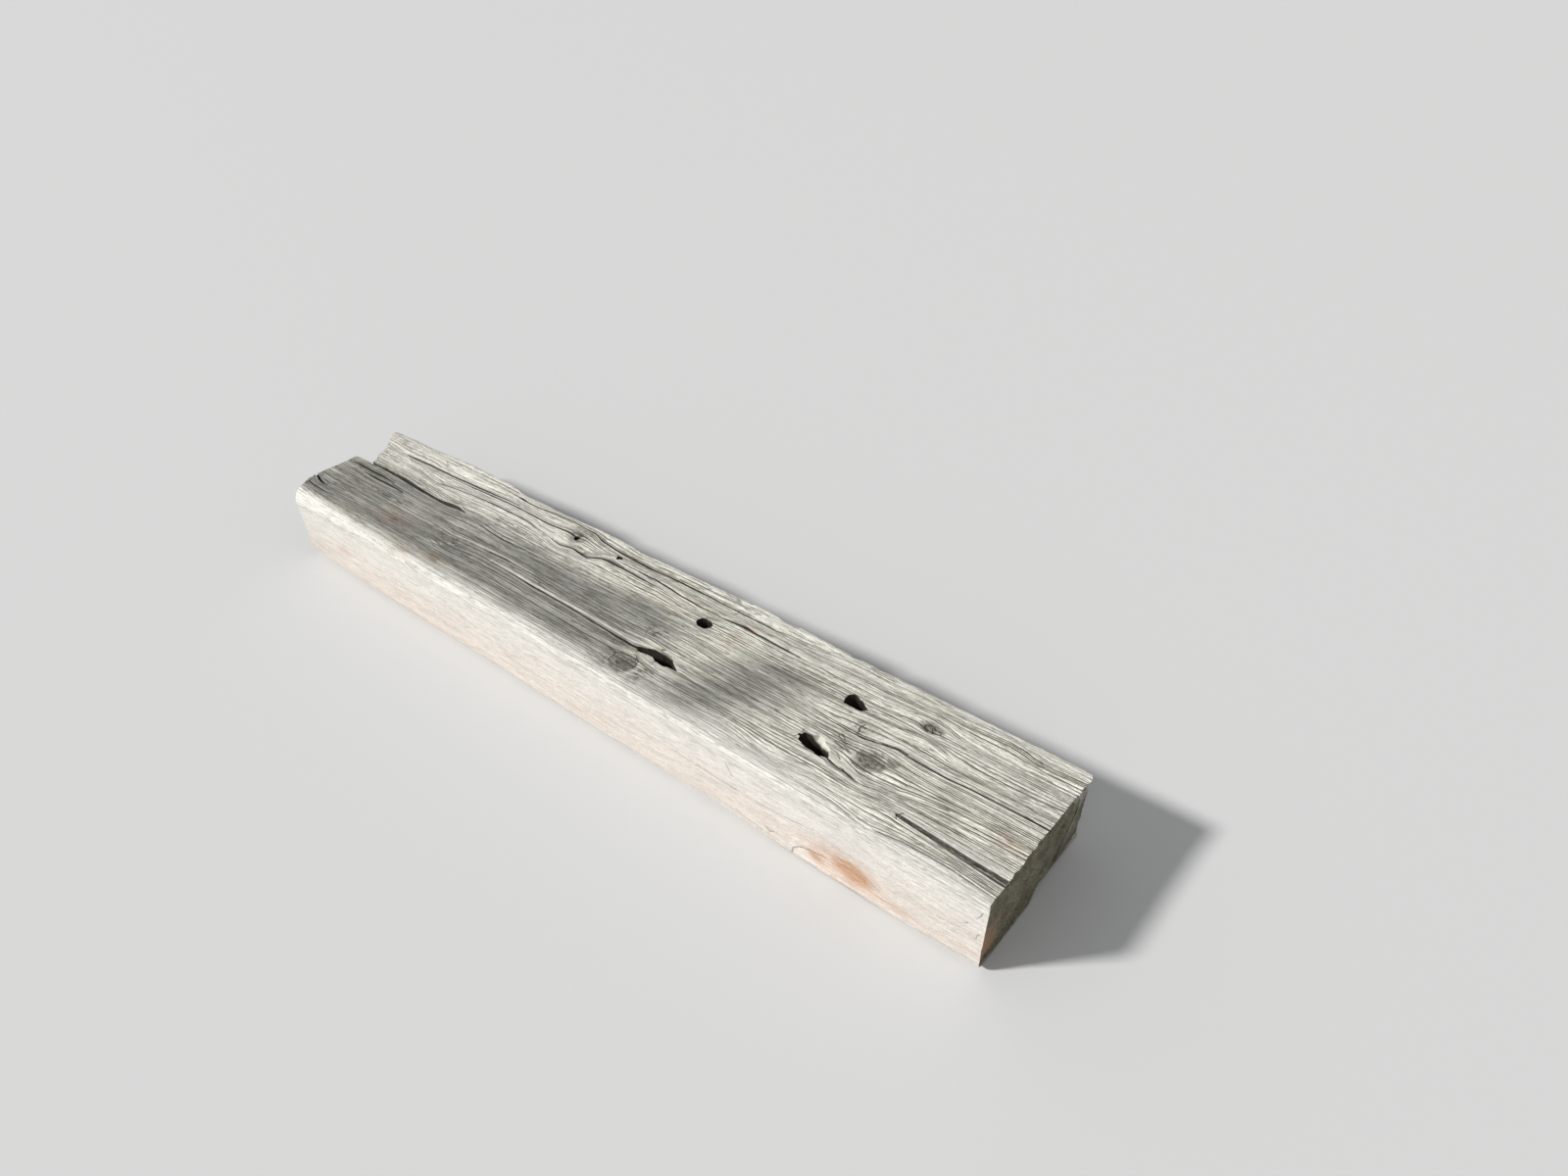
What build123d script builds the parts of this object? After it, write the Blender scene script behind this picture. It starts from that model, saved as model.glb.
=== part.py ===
from build123d import *
import math
import os

# Weathered softwood railway sleeper, sawn off at one end. Millimetres.
# X runs along the timber with the sound end at +X and the broken end at -X,
# Y runs across it with the front face at -Y, and Z is up from the underside.

# Timber
sleeper_length = 1530.0
sleeper_width = 260.0
sleeper_height = 145.0

# Sound end: its foot stands back behind its top edge, its lower back corner has decayed away,
# and its upright edge at the back is worn round
end_lean = 13.0
decay_length = 110.0
decay_height = 28.0
decay_from_front = 124.0
end_corner_radius = 15.0
end_corner_back_loss = 9.0

# Rail seat: four screw holes bored through, with mouths that rot has widened
seat_from_end = 470.0
seat_from_front = 127.0
screw_spacing_along = 290.0
screw_spacing_across = 96.0
screw_hole_diameter = 20.0
mouth_depth = 30.0
mouth_foot_clearance = 0.6

# Broken end: the strand between the split and the back edge has come away
broken_strand_depth = 80.0

# Knots stand inside a groove that the weather has worn round them
knot_groove_width = 3.0
knot_groove_depth = 2.0

# Drying checks are half as wide in their lower half
check_floor_share = 0.5
deep_check = 26.0
middle_check = 16.0
shallow_check = 9.0
grain_groove_depth = 4.0

# Wear of the long edges, at places given as shares of the length from the sound end:
# share, front top radius, front bottom radius, back top radius, back bottom radius, loss of width at the back
edge_wear = [
    (0.000, 8.0, 19.0, 6.0, 12.0, 10.0),
    (0.045, 9.0, 13.0, 6.0, 10.0, 8.5),
    (0.110, 10.0, 5.0, 6.0, 9.0, 8.0),
    (0.190, 11.0, 4.0, 7.0, 9.0, 8.0),
    (0.245, 12.0, 11.0, 7.0, 9.0, 7.0),
    (0.300, 13.0, 19.0, 7.0, 10.0, 4.0),
    (0.380, 14.0, 13.0, 7.0, 11.0, 2.5),
    (0.460, 13.0, 11.0, 7.0, 11.0, 6.5),
    (0.540, 12.0, 11.0, 7.0, 10.0, 9.0),
    (0.610, 12.0, 12.0, 7.0, 9.0, 4.5),
    (0.680, 13.0, 11.0, 7.0, 9.0, 8.5),
    (0.735, 13.0, 11.0, 7.0, 9.0, 7.5),
    (0.775, 14.0, 11.0, 7.0, 10.0, 0.5),
    (0.850, 15.0, 12.0, 7.0, 11.0, 0.5),
    (0.915, 17.0, 14.0, 8.0, 12.0, 5.5),
    (0.970, 20.0, 20.0, 9.0, 13.0, 6.5),
    (1.000, 24.0, 26.0, 10.0, 14.0, 8.0),
]

# Chips out of the back top edge: distance from the sound end, length, depth, height
back_chips = [
    (512.0, 40.0, 6.0, 14.0),
    (1128.0, 34.0, 4.0, 18.0),
    (386.0, 26.0, 3.0, 10.0),
]

# Outline of the broken end, seen from above: distance from the far limit, distance from the front
broken_end = [
    (22.0, 0.0),
    (9.0, 30.0),
    (1.0, 46.0),
    (0.0, 64.0),
    (3.0, 88.0),
    (8.0, 118.0),
    (9.5, 147.0),
]

# Outline of the strand that has come away, in the same measures
broken_strand = [
    (59.0, 149.0),
    (57.0, 160.0),
    (44.0, 175.0),
    (41.0, 191.0),
    (23.0, 213.0),
    (11.0, 227.0),
    (-4.0, 242.0),
]

# Mouth of each screw hole, as offsets from its bore: towards the sound end, towards the back
near_front_mouth = [
    (31.0, -9.5), (29.0, -4.0), (20.0, 6.0), (-12.0, 9.5), (-23.0, 9.5), (-25.5, 4.5),
    (-31.0, 2.0), (-26.0, -1.0), (-24.0, -6.0), (-8.0, -11.5), (8.0, -13.0), (18.0, -14.0),
]
near_back_mouth = [
    (21.0, -1.0), (15.0, 1.0), (5.0, 6.0), (-7.0, 10.5), (-13.0, 11.0),
    (-20.0, 6.0), (-20.5, -4.0), (-17.0, -11.0), (-2.0, -11.5), (13.0, -11.0),
]
far_front_mouth = [
    (39.5, -6.0), (18.5, 6.0), (12.5, 12.5), (-0.5, 10.5), (-9.5, 9.0), (-21.5, 9.0), (-53.5, -3.0),
    (-41.5, -8.0), (-28.0, -6.0), (-14.0, -4.5), (-5.5, -10.0), (9.5, -9.5), (18.5, -7.0),
]
far_back_mouth = [
    (10.0, -4.0), (11.0, 2.0), (8.0, 7.0), (0.0, 9.5), (-9.0, 9.5),
    (-15.0, 7.0), (-18.5, 1.0), (-17.0, -5.0), (-10.0, -9.5), (4.0, -9.5),
]

# Drying checks: distance from the sound end, distance from the front, width
main_check = [
    (-8.0, 136.0, 5.0), (47.0, 136.0, 5.0), (108.0, 135.0, 4.5), (150.0, 132.0, 4.0),
    (192.0, 133.0, 3.5), (228.0, 137.0, 2.5), (256.0, 131.0, 2.0), (282.0, 125.0, 2.0), (342.0, 124.0, 0.0),
]
lifted_grain = [
    (-8.0, 34.5, 12.0), (62.0, 38.0, 9.0), (108.0, 41.5, 6.5), (162.0, 44.5, 4.5), (172.0, 45.0, 0.0),
]
seat_check = [
    (296.0, 69.0, 4.0), (270.0, 65.0, 3.0), (246.0, 60.5, 2.5), (228.0, 59.0, 2.0), (208.0, 64.0, 0.0),
]
far_hole_split = [
    (650.0, 77.5, 5.0), (662.0, 75.5, 4.5), (675.0, 75.0, 4.0), (707.0, 75.0, 3.0), (757.0, 77.0, 2.5),
    (837.0, 80.0, 2.5), (907.0, 79.5, 3.0), (967.0, 82.0, 2.0), (1045.0, 84.0, 0.0),
]
back_middle_check = [
    (446.0, 201.0, 0.0), (468.0, 201.0, 3.0), (539.0, 202.0, 3.5), (560.0, 204.0, 6.0), (606.0, 200.0, 2.0),
    (651.0, 200.0, 2.0), (697.0, 202.0, 2.5), (722.0, 205.0, 3.5), (752.0, 208.5, 3.0), (780.0, 212.0, 2.5),
    (837.0, 212.0, 0.0),
]
pit_check = [
    (732.0, 197.0, 0.0), (777.0, 196.0, 3.5), (817.0, 198.0, 4.0), (845.0, 201.0, 7.0), (862.0, 201.0, 6.0),
    (877.0, 193.0, 3.0), (894.0, 183.0, 4.5), (937.0, 187.0, 3.5), (954.0, 183.0, 2.5), (990.0, 175.0, 0.0),
]
back_edge_check = [
    (452.0, 225.5, 0.0), (560.0, 225.0, 2.2), (680.0, 227.0, 2.4), (746.0, 227.0, 2.6), (776.0, 224.0, 3.5),
    (861.0, 226.0, 4.0), (907.0, 231.0, 3.0), (936.0, 240.0, 2.5), (996.0, 242.0, 2.5), (1068.0, 236.0, 2.5),
    (1110.0, 234.0, 3.0), (1132.0, 235.5, 6.0), (1140.0, 236.0, 0.0),
]
knot_hole_check = [
    (954.0, 227.0, 0.0), (981.0, 217.0, 3.0), (1026.0, 211.0, 3.0), (1146.0, 210.0, 3.0), (1206.0, 207.0, 2.5),
    (1236.0, 202.0, 2.5), (1306.0, 198.0, 0.0),
]
strand_check = [
    (1028.0, 198.0, 0.0), (1086.0, 196.0, 2.5), (1156.0, 195.0, 3.0), (1206.0, 192.5, 2.5),
    (1260.0, 186.0, 2.5), (1300.0, 180.0, 0.0),
]

# Checks of the broken end: distance from the far limit, distance from the front, width
far_back_check = [
    (92.0, 206.0, 0.0), (120.0, 207.0, 3.0), (170.0, 210.0, 3.5), (222.0, 210.0, 3.5), (311.0, 216.0, 3.0),
    (374.0, 217.5, 2.5), (434.0, 220.0, 0.0),
]
open_split = [
    (55.0, 150.0, 5.0), (84.0, 151.0, 5.0), (132.0, 151.0, 6.0), (174.0, 150.0, 8.0), (224.0, 146.5, 6.0),
    (282.0, 145.0, 5.0), (310.0, 148.0, 10.0), (328.0, 150.0, 8.0), (350.0, 148.0, 0.0),
]
far_groove = [
    (14.0, 132.0, 0.0), (40.0, 135.0, 4.5), (84.0, 134.5, 4.5), (132.0, 135.0, 4.0), (150.0, 134.0, 0.0),
]
second_groove = [
    (74.0, 121.5, 0.0), (112.0, 120.0, 4.5), (154.0, 120.5, 4.5), (206.0, 121.5, 0.0),
]
far_front_check = [
    (-6.0, 67.0, 4.0), (6.0, 63.0, 4.5), (24.0, 57.0, 4.5), (39.0, 55.0, 3.5), (56.0, 54.5, 0.0),
]
front_edge_check = [
    (-6.0, 44.5, 3.0), (24.0, 41.5, 3.0), (75.0, 41.0, 2.5), (96.0, 41.0, 0.0),
]

# Grain grooves: shallow lines that follow the grain round the knots, in the measures of the first checks
grain_grooves = [
    [(6.0, 93.0, 0.0), (60.0, 92.0, 2.2), (120.0, 89.0, 2.4), (176.0, 80.0, 2.2), (214.0, 66.0, 0.0)],
    [(6.0, 165.0, 0.0), (60.0, 161.0, 2.2), (118.0, 160.0, 2.4), (158.0, 164.5, 2.2), (196.0, 174.0, 0.0)],
    [(8.0, 199.0, 0.0), (70.0, 200.0, 2.2), (130.0, 201.5, 2.4), (176.0, 205.0, 2.2), (200.0, 209.0, 0.0)],
    [(236.0, 205.0, 0.0), (262.0, 199.0, 2.2), (300.0, 194.0, 2.4), (400.0, 194.0, 2.2), (438.0, 193.0, 0.0)],
    [(360.0, 74.5, 0.0), (400.0, 73.0, 2.4), (460.0, 72.0, 2.6), (520.0, 71.0, 2.4), (568.0, 72.0, 0.0)],
    [(358.0, 25.5, 0.0), (385.0, 27.5, 2.2), (420.0, 34.0, 2.4), (455.0, 38.0, 2.2), (505.0, 35.0, 0.0)],
    [(376.0, 134.0, 0.0), (412.0, 134.0, 2.2), (450.0, 134.5, 2.2), (508.0, 137.0, 0.0)],
    [(612.0, 131.0, 0.0), (655.0, 131.5, 2.4), (705.0, 131.0, 2.4), (752.0, 133.0, 2.2), (790.0, 133.0, 0.0)],
    [(938.0, 101.5, 0.0), (1010.0, 101.0, 2.6), (1065.0, 98.0, 2.6), (1120.0, 95.0, 2.2), (1150.0, 92.0, 0.0)],
    [(1144.0, 234.0, 0.0), (1182.0, 229.0, 2.4), (1240.0, 226.0, 2.2), (1300.0, 221.0, 0.0)],
    [(1256.0, 98.0, 0.0), (1300.0, 98.0, 2.4), (1360.0, 98.5, 2.4), (1406.0, 99.0, 0.0)],
]

# Knots in the top face: distance from the sound end, distance from the front, length, width
knots = [
    (248.0, 97.0, 44.0, 31.0),
    (215.0, 195.0, 30.0, 17.0),
    (656.0, 41.0, 42.0, 37.0),
]

# Pits in the top face: distance from the sound end, distance from the front, length, width, depth
knot_pits = [
    (953.5, 213.0, 14.0, 12.0, 18.0),
    (848.5, 215.0, 12.0, 8.0, 14.0),
]

# Room that a cutter has beyond the faces that it leaves open
overshoot = 2.0


def from_sound_end(distance):
    """X of a place measured from the sound end."""
    return sleeper_length / 2 - distance


def from_broken_end(distance):
    """X of a place measured from the far limit of the broken end."""
    return distance - sleeper_length / 2


def from_front(distance):
    """Y of a place measured from the front face."""
    return distance - sleeper_width / 2


def worn_section(wear):
    """Closed cross-section of the timber at one place along it."""
    share, front_top, front_bottom, back_top, back_bottom, back_loss = wear
    front = -sleeper_width / 2
    back = sleeper_width / 2 - back_loss
    under = -overshoot
    top = sleeper_height + overshoot
    half = 1 - math.sqrt(0.5)
    place = Plane(origin=(from_sound_end(share * sleeper_length), 0, 0), x_dir=(0, 1, 0), z_dir=(1, 0, 0))
    with BuildSketch(place) as sketch:
        with BuildLine():
            Line((front + front_bottom, under), (back - back_bottom, under))
            ThreePointArc(
                (back - back_bottom, under),
                (back - back_bottom * half, under + back_bottom * half),
                (back, under + back_bottom),
            )
            Line((back, under + back_bottom), (back, top - back_top))
            ThreePointArc(
                (back, top - back_top),
                (back - back_top * half, top - back_top * half),
                (back - back_top, top),
            )
            Line((back - back_top, top), (front + front_top, top))
            ThreePointArc(
                (front + front_top, top),
                (front + front_top * half, top - front_top * half),
                (front, top - front_top),
            )
            Line((front, top - front_top), (front, under + front_bottom))
            ThreePointArc(
                (front, under + front_bottom),
                (front + front_bottom * half, under + front_bottom * half),
                (front + front_bottom, under),
            )
        make_face()
    return sketch.sketch


def worn_timber():
    """The timber with worn edges, its top and underside left flat."""
    body = loft([worn_section(wear) for wear in edge_wear])
    slab = Box(sleeper_length, sleeper_width, sleeper_height, align=(Align.CENTER, Align.CENTER, Align.MIN))
    return body & slab


def sound_end_cut():
    """Wedge that the lean of the sound end takes off."""
    top = (sleeper_length / 2, sleeper_height)
    foot = (sleeper_length / 2 - end_lean, 0)
    slope = end_lean / sleeper_height
    outline = Plane.XZ * Polyline(
        (top[0] + slope * overshoot, top[1] + overshoot),
        (top[0] + end_lean, top[1] + overshoot),
        (top[0] + end_lean, -overshoot),
        (foot[0] - slope * overshoot, -overshoot),
        close=True,
    )
    return extrude(make_face(outline), sleeper_width / 2 + overshoot, both=True)


def worn_end_corner():
    """What lies outside the round of the sound end's upright back edge, which leans as the end does."""
    top = sleeper_height + overshoot
    height = sleeper_height + 2 * overshoot
    slope = end_lean / sleeper_height
    corner_x = sleeper_length / 2 + slope * overshoot
    corner_y = sleeper_width / 2 - end_corner_back_loss
    far_x = corner_x + end_lean
    far_y = sleeper_width / 2 + overshoot
    radius = end_corner_radius
    half = 1 - math.sqrt(0.5)
    outline = Line((corner_x - radius, far_y, top), (corner_x - radius, corner_y, top))
    outline += ThreePointArc(
        (corner_x - radius, corner_y, top),
        (corner_x - radius * half, corner_y - radius * half, top),
        (corner_x, corner_y - radius, top),
    )
    outline += Polyline(
        (corner_x, corner_y - radius, top),
        (far_x, corner_y - radius, top),
        (far_x, far_y, top),
        (corner_x - radius, far_y, top),
    )
    return extrude(make_face(outline), height, dir=(-slope, 0, -1))


def decayed_corner():
    """Decay in the lower back corner of the sound end, fading out along the underside."""
    inner = from_front(decay_from_front)
    outer = sleeper_width / 2 + overshoot
    reach = sleeper_length / 2 + overshoot

    def outline(x, height, shift, drop):
        points = [
            (x, inner + shift, -overshoot),
            (x, inner + shift + 0.15 * height, 0.45 * height - drop),
            (x, inner + shift + 0.35 * height, height - drop),
            (x, (inner + shift + outer) / 2, 0.86 * height - drop),
            (x, outer, 1.15 * height - drop),
            (x, outer, -overshoot),
        ]
        return make_face(Polyline(*points, close=True))

    tail_height = overshoot / 2
    mouth = outline(reach, decay_height, 0.0, 0.0)
    tail = outline(sleeper_length / 2 - end_lean - decay_length, tail_height, decay_height, 1.3 * tail_height)
    return loft([mouth, tail], ruled=True)


def prism(points, depth):
    """Upright prism cut down from the top face."""
    floor = sleeper_height - depth
    outline = Polyline(*[(x, y, floor) for x, y in points], close=True)
    return extrude(make_face(outline), depth + overshoot, dir=(0, 0, 1))


def broken_end_cut():
    """All that lies beyond the outline of the broken end, over the full height."""
    limit = from_broken_end(0) - overshoot
    points = [(limit, from_front(broken_end[0][1]) - overshoot)]
    points += [(from_broken_end(broken_end[0][0]), from_front(broken_end[0][1]) - overshoot)]
    points += [(from_broken_end(distance), from_front(across)) for distance, across in broken_end]
    last = from_front(broken_end[-1][1])
    points += [(from_broken_end(0), last + (sleeper_width / 2 - last) / 2)]
    points += [(from_broken_end(0), sleeper_width / 2 + overshoot)]
    points += [(limit, sleeper_width / 2 + overshoot)]
    return prism(points, sleeper_height + overshoot)


def broken_strand_cut():
    """The strand beside the open split that has come away at the broken end."""
    limit = from_broken_end(0) - overshoot
    points = [(limit, from_front(broken_strand[0][1]))]
    points += [(from_broken_end(distance), from_front(across)) for distance, across in broken_strand]
    points += [(limit, from_front(broken_strand[-1][1]))]
    return prism(points, broken_strand_depth)


def check_outline(route, share):
    """Outline of a check as wide as its route says, times a share, and pointed where its width is none."""
    left = []
    right = []
    for number, (x, y, width) in enumerate(route):
        before = route[max(number - 1, 0)]
        after = route[min(number + 1, len(route) - 1)]
        run = math.hypot(after[0] - before[0], after[1] - before[1])
        across = ((before[1] - after[1]) / run, (after[0] - before[0]) / run)
        half = share * width / 2
        left.append((x + half * across[0], y + half * across[1]))
        if width > 0:
            right.append((x - half * across[0], y - half * across[1]))
    return left + right[::-1]


def check_cut(route, place_along, depth):
    """One drying check, cut from the top face in two steps that narrow downwards."""
    placed = [(place_along(distance), from_front(across), width) for distance, across, width in route]
    upper = prism(check_outline(placed, 1.0), depth / 2)
    lower = prism(check_outline(placed, check_floor_share), depth)
    return [upper, lower]


def drying_checks():
    """Every check that is wide enough to be cut, with its depth."""
    from_near = [
        (main_check, middle_check), (lifted_grain, shallow_check), (seat_check, middle_check),
        (far_hole_split, middle_check), (back_middle_check, middle_check), (pit_check, middle_check),
        (back_edge_check, shallow_check), (knot_hole_check, shallow_check), (strand_check, shallow_check),
    ]
    from_far = [
        (far_back_check, middle_check), (open_split, deep_check), (far_groove, middle_check),
        (second_groove, shallow_check), (far_front_check, middle_check), (front_edge_check, shallow_check),
    ]
    cuts = []
    for route, depth in from_near:
        cuts += check_cut(route, from_sound_end, depth)
    for route, depth in from_far:
        cuts += check_cut(route, from_broken_end, depth)
    return cuts


def grooves():
    """The grain grooves, each as one shallow cut."""
    cuts = []
    for route in grain_grooves:
        placed = [(from_sound_end(distance), from_front(across), width) for distance, across, width in route]
        cuts.append(prism(check_outline(placed, 1.0), grain_groove_depth))
    return cuts


def knot_grooves():
    """A groove round each knot."""
    cuts = []
    for distance, across, length, width in knots:
        place = Plane(origin=(from_sound_end(distance), from_front(across), sleeper_height - knot_groove_depth))
        outer = Ellipse(length / 2, width / 2)
        inner = Ellipse(length / 2 - knot_groove_width, width / 2 - knot_groove_width)
        cuts.append(extrude(place * (outer - inner), knot_groove_depth + overshoot, dir=(0, 0, 1)))
    return cuts


def screw_hole(side_along, side_across, mouth):
    """One bored screw hole and its widened mouth, which narrows down to the bore."""
    x = from_sound_end(seat_from_end) + side_along * screw_spacing_along / 2
    y = from_front(seat_from_front) + side_across * screw_spacing_across / 2
    bore = Pos(x, y, sleeper_height / 2) * Cylinder(screw_hole_diameter / 2, sleeper_height + 2 * overshoot)
    top = sleeper_height + overshoot
    floor = sleeper_height - mouth_depth
    foot_radius = screw_hole_diameter / 2 + mouth_foot_clearance
    rim = make_face(Polyline(*[(x + along, y + across, top) for along, across in mouth], close=True))
    corners = []
    for along, across in mouth:
        reach = math.hypot(along, across)
        corners.append((x + foot_radius * along / reach, y + foot_radius * across / reach, floor))
    foot = make_face(Polyline(*corners, close=True))
    return [bore, loft([rim, foot], ruled=True)]


def screw_holes():
    """The four screw holes of the rail seat."""
    return (
        screw_hole(1, -1, near_front_mouth)
        + screw_hole(1, 1, near_back_mouth)
        + screw_hole(-1, -1, far_front_mouth)
        + screw_hole(-1, 1, far_back_mouth)
    )


def chips():
    """Scoops out of the back top edge, each an upright arc."""
    cuts = []
    for distance, length, depth, height in back_chips:
        radius = (length * length / 4 + depth * depth) / (2 * depth)
        back = sleeper_width / 2 - back_loss_at(distance / sleeper_length)
        centre = (from_sound_end(distance), back - depth + radius, sleeper_height - height / 2)
        cuts.append(Pos(*centre) * Cylinder(radius, height + 2 * overshoot))
    return cuts


def back_loss_at(share):
    """Loss of width at the back between two places of the wear table, in a straight line."""
    for here, there in zip(edge_wear, edge_wear[1:]):
        if here[0] <= share <= there[0]:
            part = (share - here[0]) / (there[0] - here[0])
            return here[5] + part * (there[5] - here[5])
    return edge_wear[-1][5]


def pits():
    """Elliptical pits where small knots have dropped out."""
    cuts = []
    for distance, across, length, width, depth in knot_pits:
        place = Plane(origin=(from_sound_end(distance), from_front(across), sleeper_height - depth))
        cuts.append(extrude(place * Ellipse(length / 2, width / 2), depth + overshoot, dir=(0, 0, 1)))
    return cuts


def make_sleeper():
    """The whole timber."""
    body = worn_timber()
    body = body - sound_end_cut() - worn_end_corner() - decayed_corner()
    body = body - broken_end_cut() - broken_strand_cut()
    for cut in screw_holes() + pits() + chips() + drying_checks() + grooves() + knot_grooves():
        body = body - cut
    return body


sleeper = make_sleeper()
os.makedirs("parts", exist_ok=True)
export_step(sleeper, "parts/sleeper.step")
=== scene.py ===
import math
import bmesh
import bpy
import numpy as np
from mathutils import Matrix, Vector


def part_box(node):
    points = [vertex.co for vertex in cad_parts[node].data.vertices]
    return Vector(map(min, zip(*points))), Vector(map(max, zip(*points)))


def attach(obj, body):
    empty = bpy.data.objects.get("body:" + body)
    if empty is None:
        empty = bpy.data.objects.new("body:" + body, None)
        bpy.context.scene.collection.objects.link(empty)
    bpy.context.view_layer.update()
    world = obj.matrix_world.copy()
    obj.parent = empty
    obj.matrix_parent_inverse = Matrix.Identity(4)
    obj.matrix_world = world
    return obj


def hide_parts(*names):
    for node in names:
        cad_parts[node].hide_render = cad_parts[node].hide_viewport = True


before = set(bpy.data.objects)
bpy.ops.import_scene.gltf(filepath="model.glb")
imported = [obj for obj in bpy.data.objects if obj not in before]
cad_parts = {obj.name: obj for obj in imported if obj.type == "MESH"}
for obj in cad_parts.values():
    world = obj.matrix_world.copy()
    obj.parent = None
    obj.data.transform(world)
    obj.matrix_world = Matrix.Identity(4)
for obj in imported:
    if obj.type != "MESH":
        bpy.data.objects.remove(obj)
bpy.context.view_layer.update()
print("stage: frame loaded")

# The timber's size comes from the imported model. Everything below is in millimetres until it goes into a mesh.
lowCorner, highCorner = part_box("sleeper")
timberLength, timberWidth, timberHeight = [1000 * (high - low) for low, high in zip(lowCorner, highCorner)]
soundEnd = timberLength / 2  # x of the sound end's top edge
brokenEnd = -timberLength / 2
frontFace = -timberWidth / 2
backFace = timberWidth / 2
millimetre = 0.001  # in metres


# Small tools for whole arrays

noiseTable = (101, 97)  # how many random heights a noise draws each way before it repeats
noiseShift = 400.5  # keeps the numbers of the cells above zero
noiseCells = {  # size of the cells along and across, seed, layers
    "frontBend": (260, 70, 5, 1), "longBend": (420, 110, 21, 1), "shortBend": (130, 34, 22, 1),
    "backJags": (40, 50, 141, 3), "grooveSlow": (190, 5, 31, 1), "grooveQuick": (23, 4, 33, 1),
    "knotRim": (0.5, 5, 40, 1), "wear": (150, 45, 61, 3), "swell": (60, 9, 63, 3), "decay": (30, 34, 51, 1),
    "tornWide": (24, 9, 99, 1), "tornFine": (5.5, 9, 101, 1), "brokenRim": (9, 13, 105, 3),
    "endRough": (17, 15, 71, 4), "endFibre": (3.4, 3, 75, 2), "ringBend": (60, 60, 81, 3),
    "shakeBend": (50, 50, 83, 3), "redCorner": (16, 16, 131, 3),
    "blotch": (90, 30, 91, 4), "streak": (240, 7, 95, 3), "fleck": (22, 5, 97, 3),
    "holeTear": (5, 40, 111, 3), "splinter": (6, 60, 121, 3),
}


def softStep(value, low, high):
    # s = t*t*(3 - 2t), where t is the share of the way from low to high
    t = np.clip((value - low) / (high - low), 0, 1)
    return t * t * (3 - 2 * t)


def bell(*distances):
    # exp(-(a^2 + b^2 + ...)): 1 in the middle and near 0 at two reaches
    return np.exp(-sum(distance ** 2 for distance in distances))


def softNoise(x, y, cellX, cellY, seed):
    # random heights at the corners of cells, blended by softStep along both axes, from 0 to 1
    heights = np.random.default_rng(seed).random(noiseTable)
    u, v = x / cellX + noiseShift, y / cellY + noiseShift
    i, j = np.floor(u).astype(int), np.floor(v).astype(int)
    s, t = softStep(u - i, 0, 1), softStep(v - j, 0, 1)

    def corner(stepX, stepY):
        return heights[(i + stepX) % noiseTable[0], (j + stepY) % noiseTable[1]]

    nearSide = corner(0, 0) * (1 - t) + corner(0, 1) * t
    farSide = corner(1, 0) * (1 - t) + corner(1, 1) * t
    return nearSide * (1 - s) + farSide * s


def noise(name, x, y, shift=0):
    # sum of softNoise with cells halved and weight halved in each further layer, from 0 to 1
    cellX, cellY, seed, layers = noiseCells[name]
    total, weight = 0.0, 0.0
    for layer in range(layers):
        share = 0.5 ** layer
        total = total + share * softNoise(x, y, cellX * share, cellY * share, seed + shift + layer)
        weight += share
    return total / weight


def fromSound(distance):
    # x at a distance from the sound end
    return soundEnd - distance


def fromBroken(distance):
    # x at a distance from the broken end
    return brokenEnd + distance


def fromFront(distance):
    # y at a distance from the front face
    return frontFace + distance


def placed(route, along):
    # a route's points as x, y and width
    return [(along(a), fromFront(b), width) for a, b, width in route]


# Section of a short crack: thin stretches are shallow, up to the half width where it has its full depth
crackShape = {"curve": 1.6, "leastHalf": 0.05, "fullHalf": 1.2, "leastShare": 0.25}


def routeDepth(x, y, route, depth):
    # deepest of depth * (1 - (d/h)^1.6) over the runs of a route, with d the distance to the run and h the
    # half width there
    result = np.zeros_like(x)
    for (x0, y0, w0), (x1, y1, w1) in zip(route, route[1:]):
        runX, runY = x1 - x0, y1 - y0
        t = np.clip(((x - x0) * runX + (y - y0) * runY) / (runX ** 2 + runY ** 2), 0, 1)
        half = np.maximum((w0 + (w1 - w0) * t) / 2, crackShape["leastHalf"])
        away = np.hypot(x - x0 - t * runX, y - y0 - t * runY) / half
        share = np.clip(half / crackShape["fullHalf"], crackShape["leastShare"], 1)
        result = np.maximum(result, depth * share * np.clip(1 - away ** crackShape["curve"], 0, 1))
    return result


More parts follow.
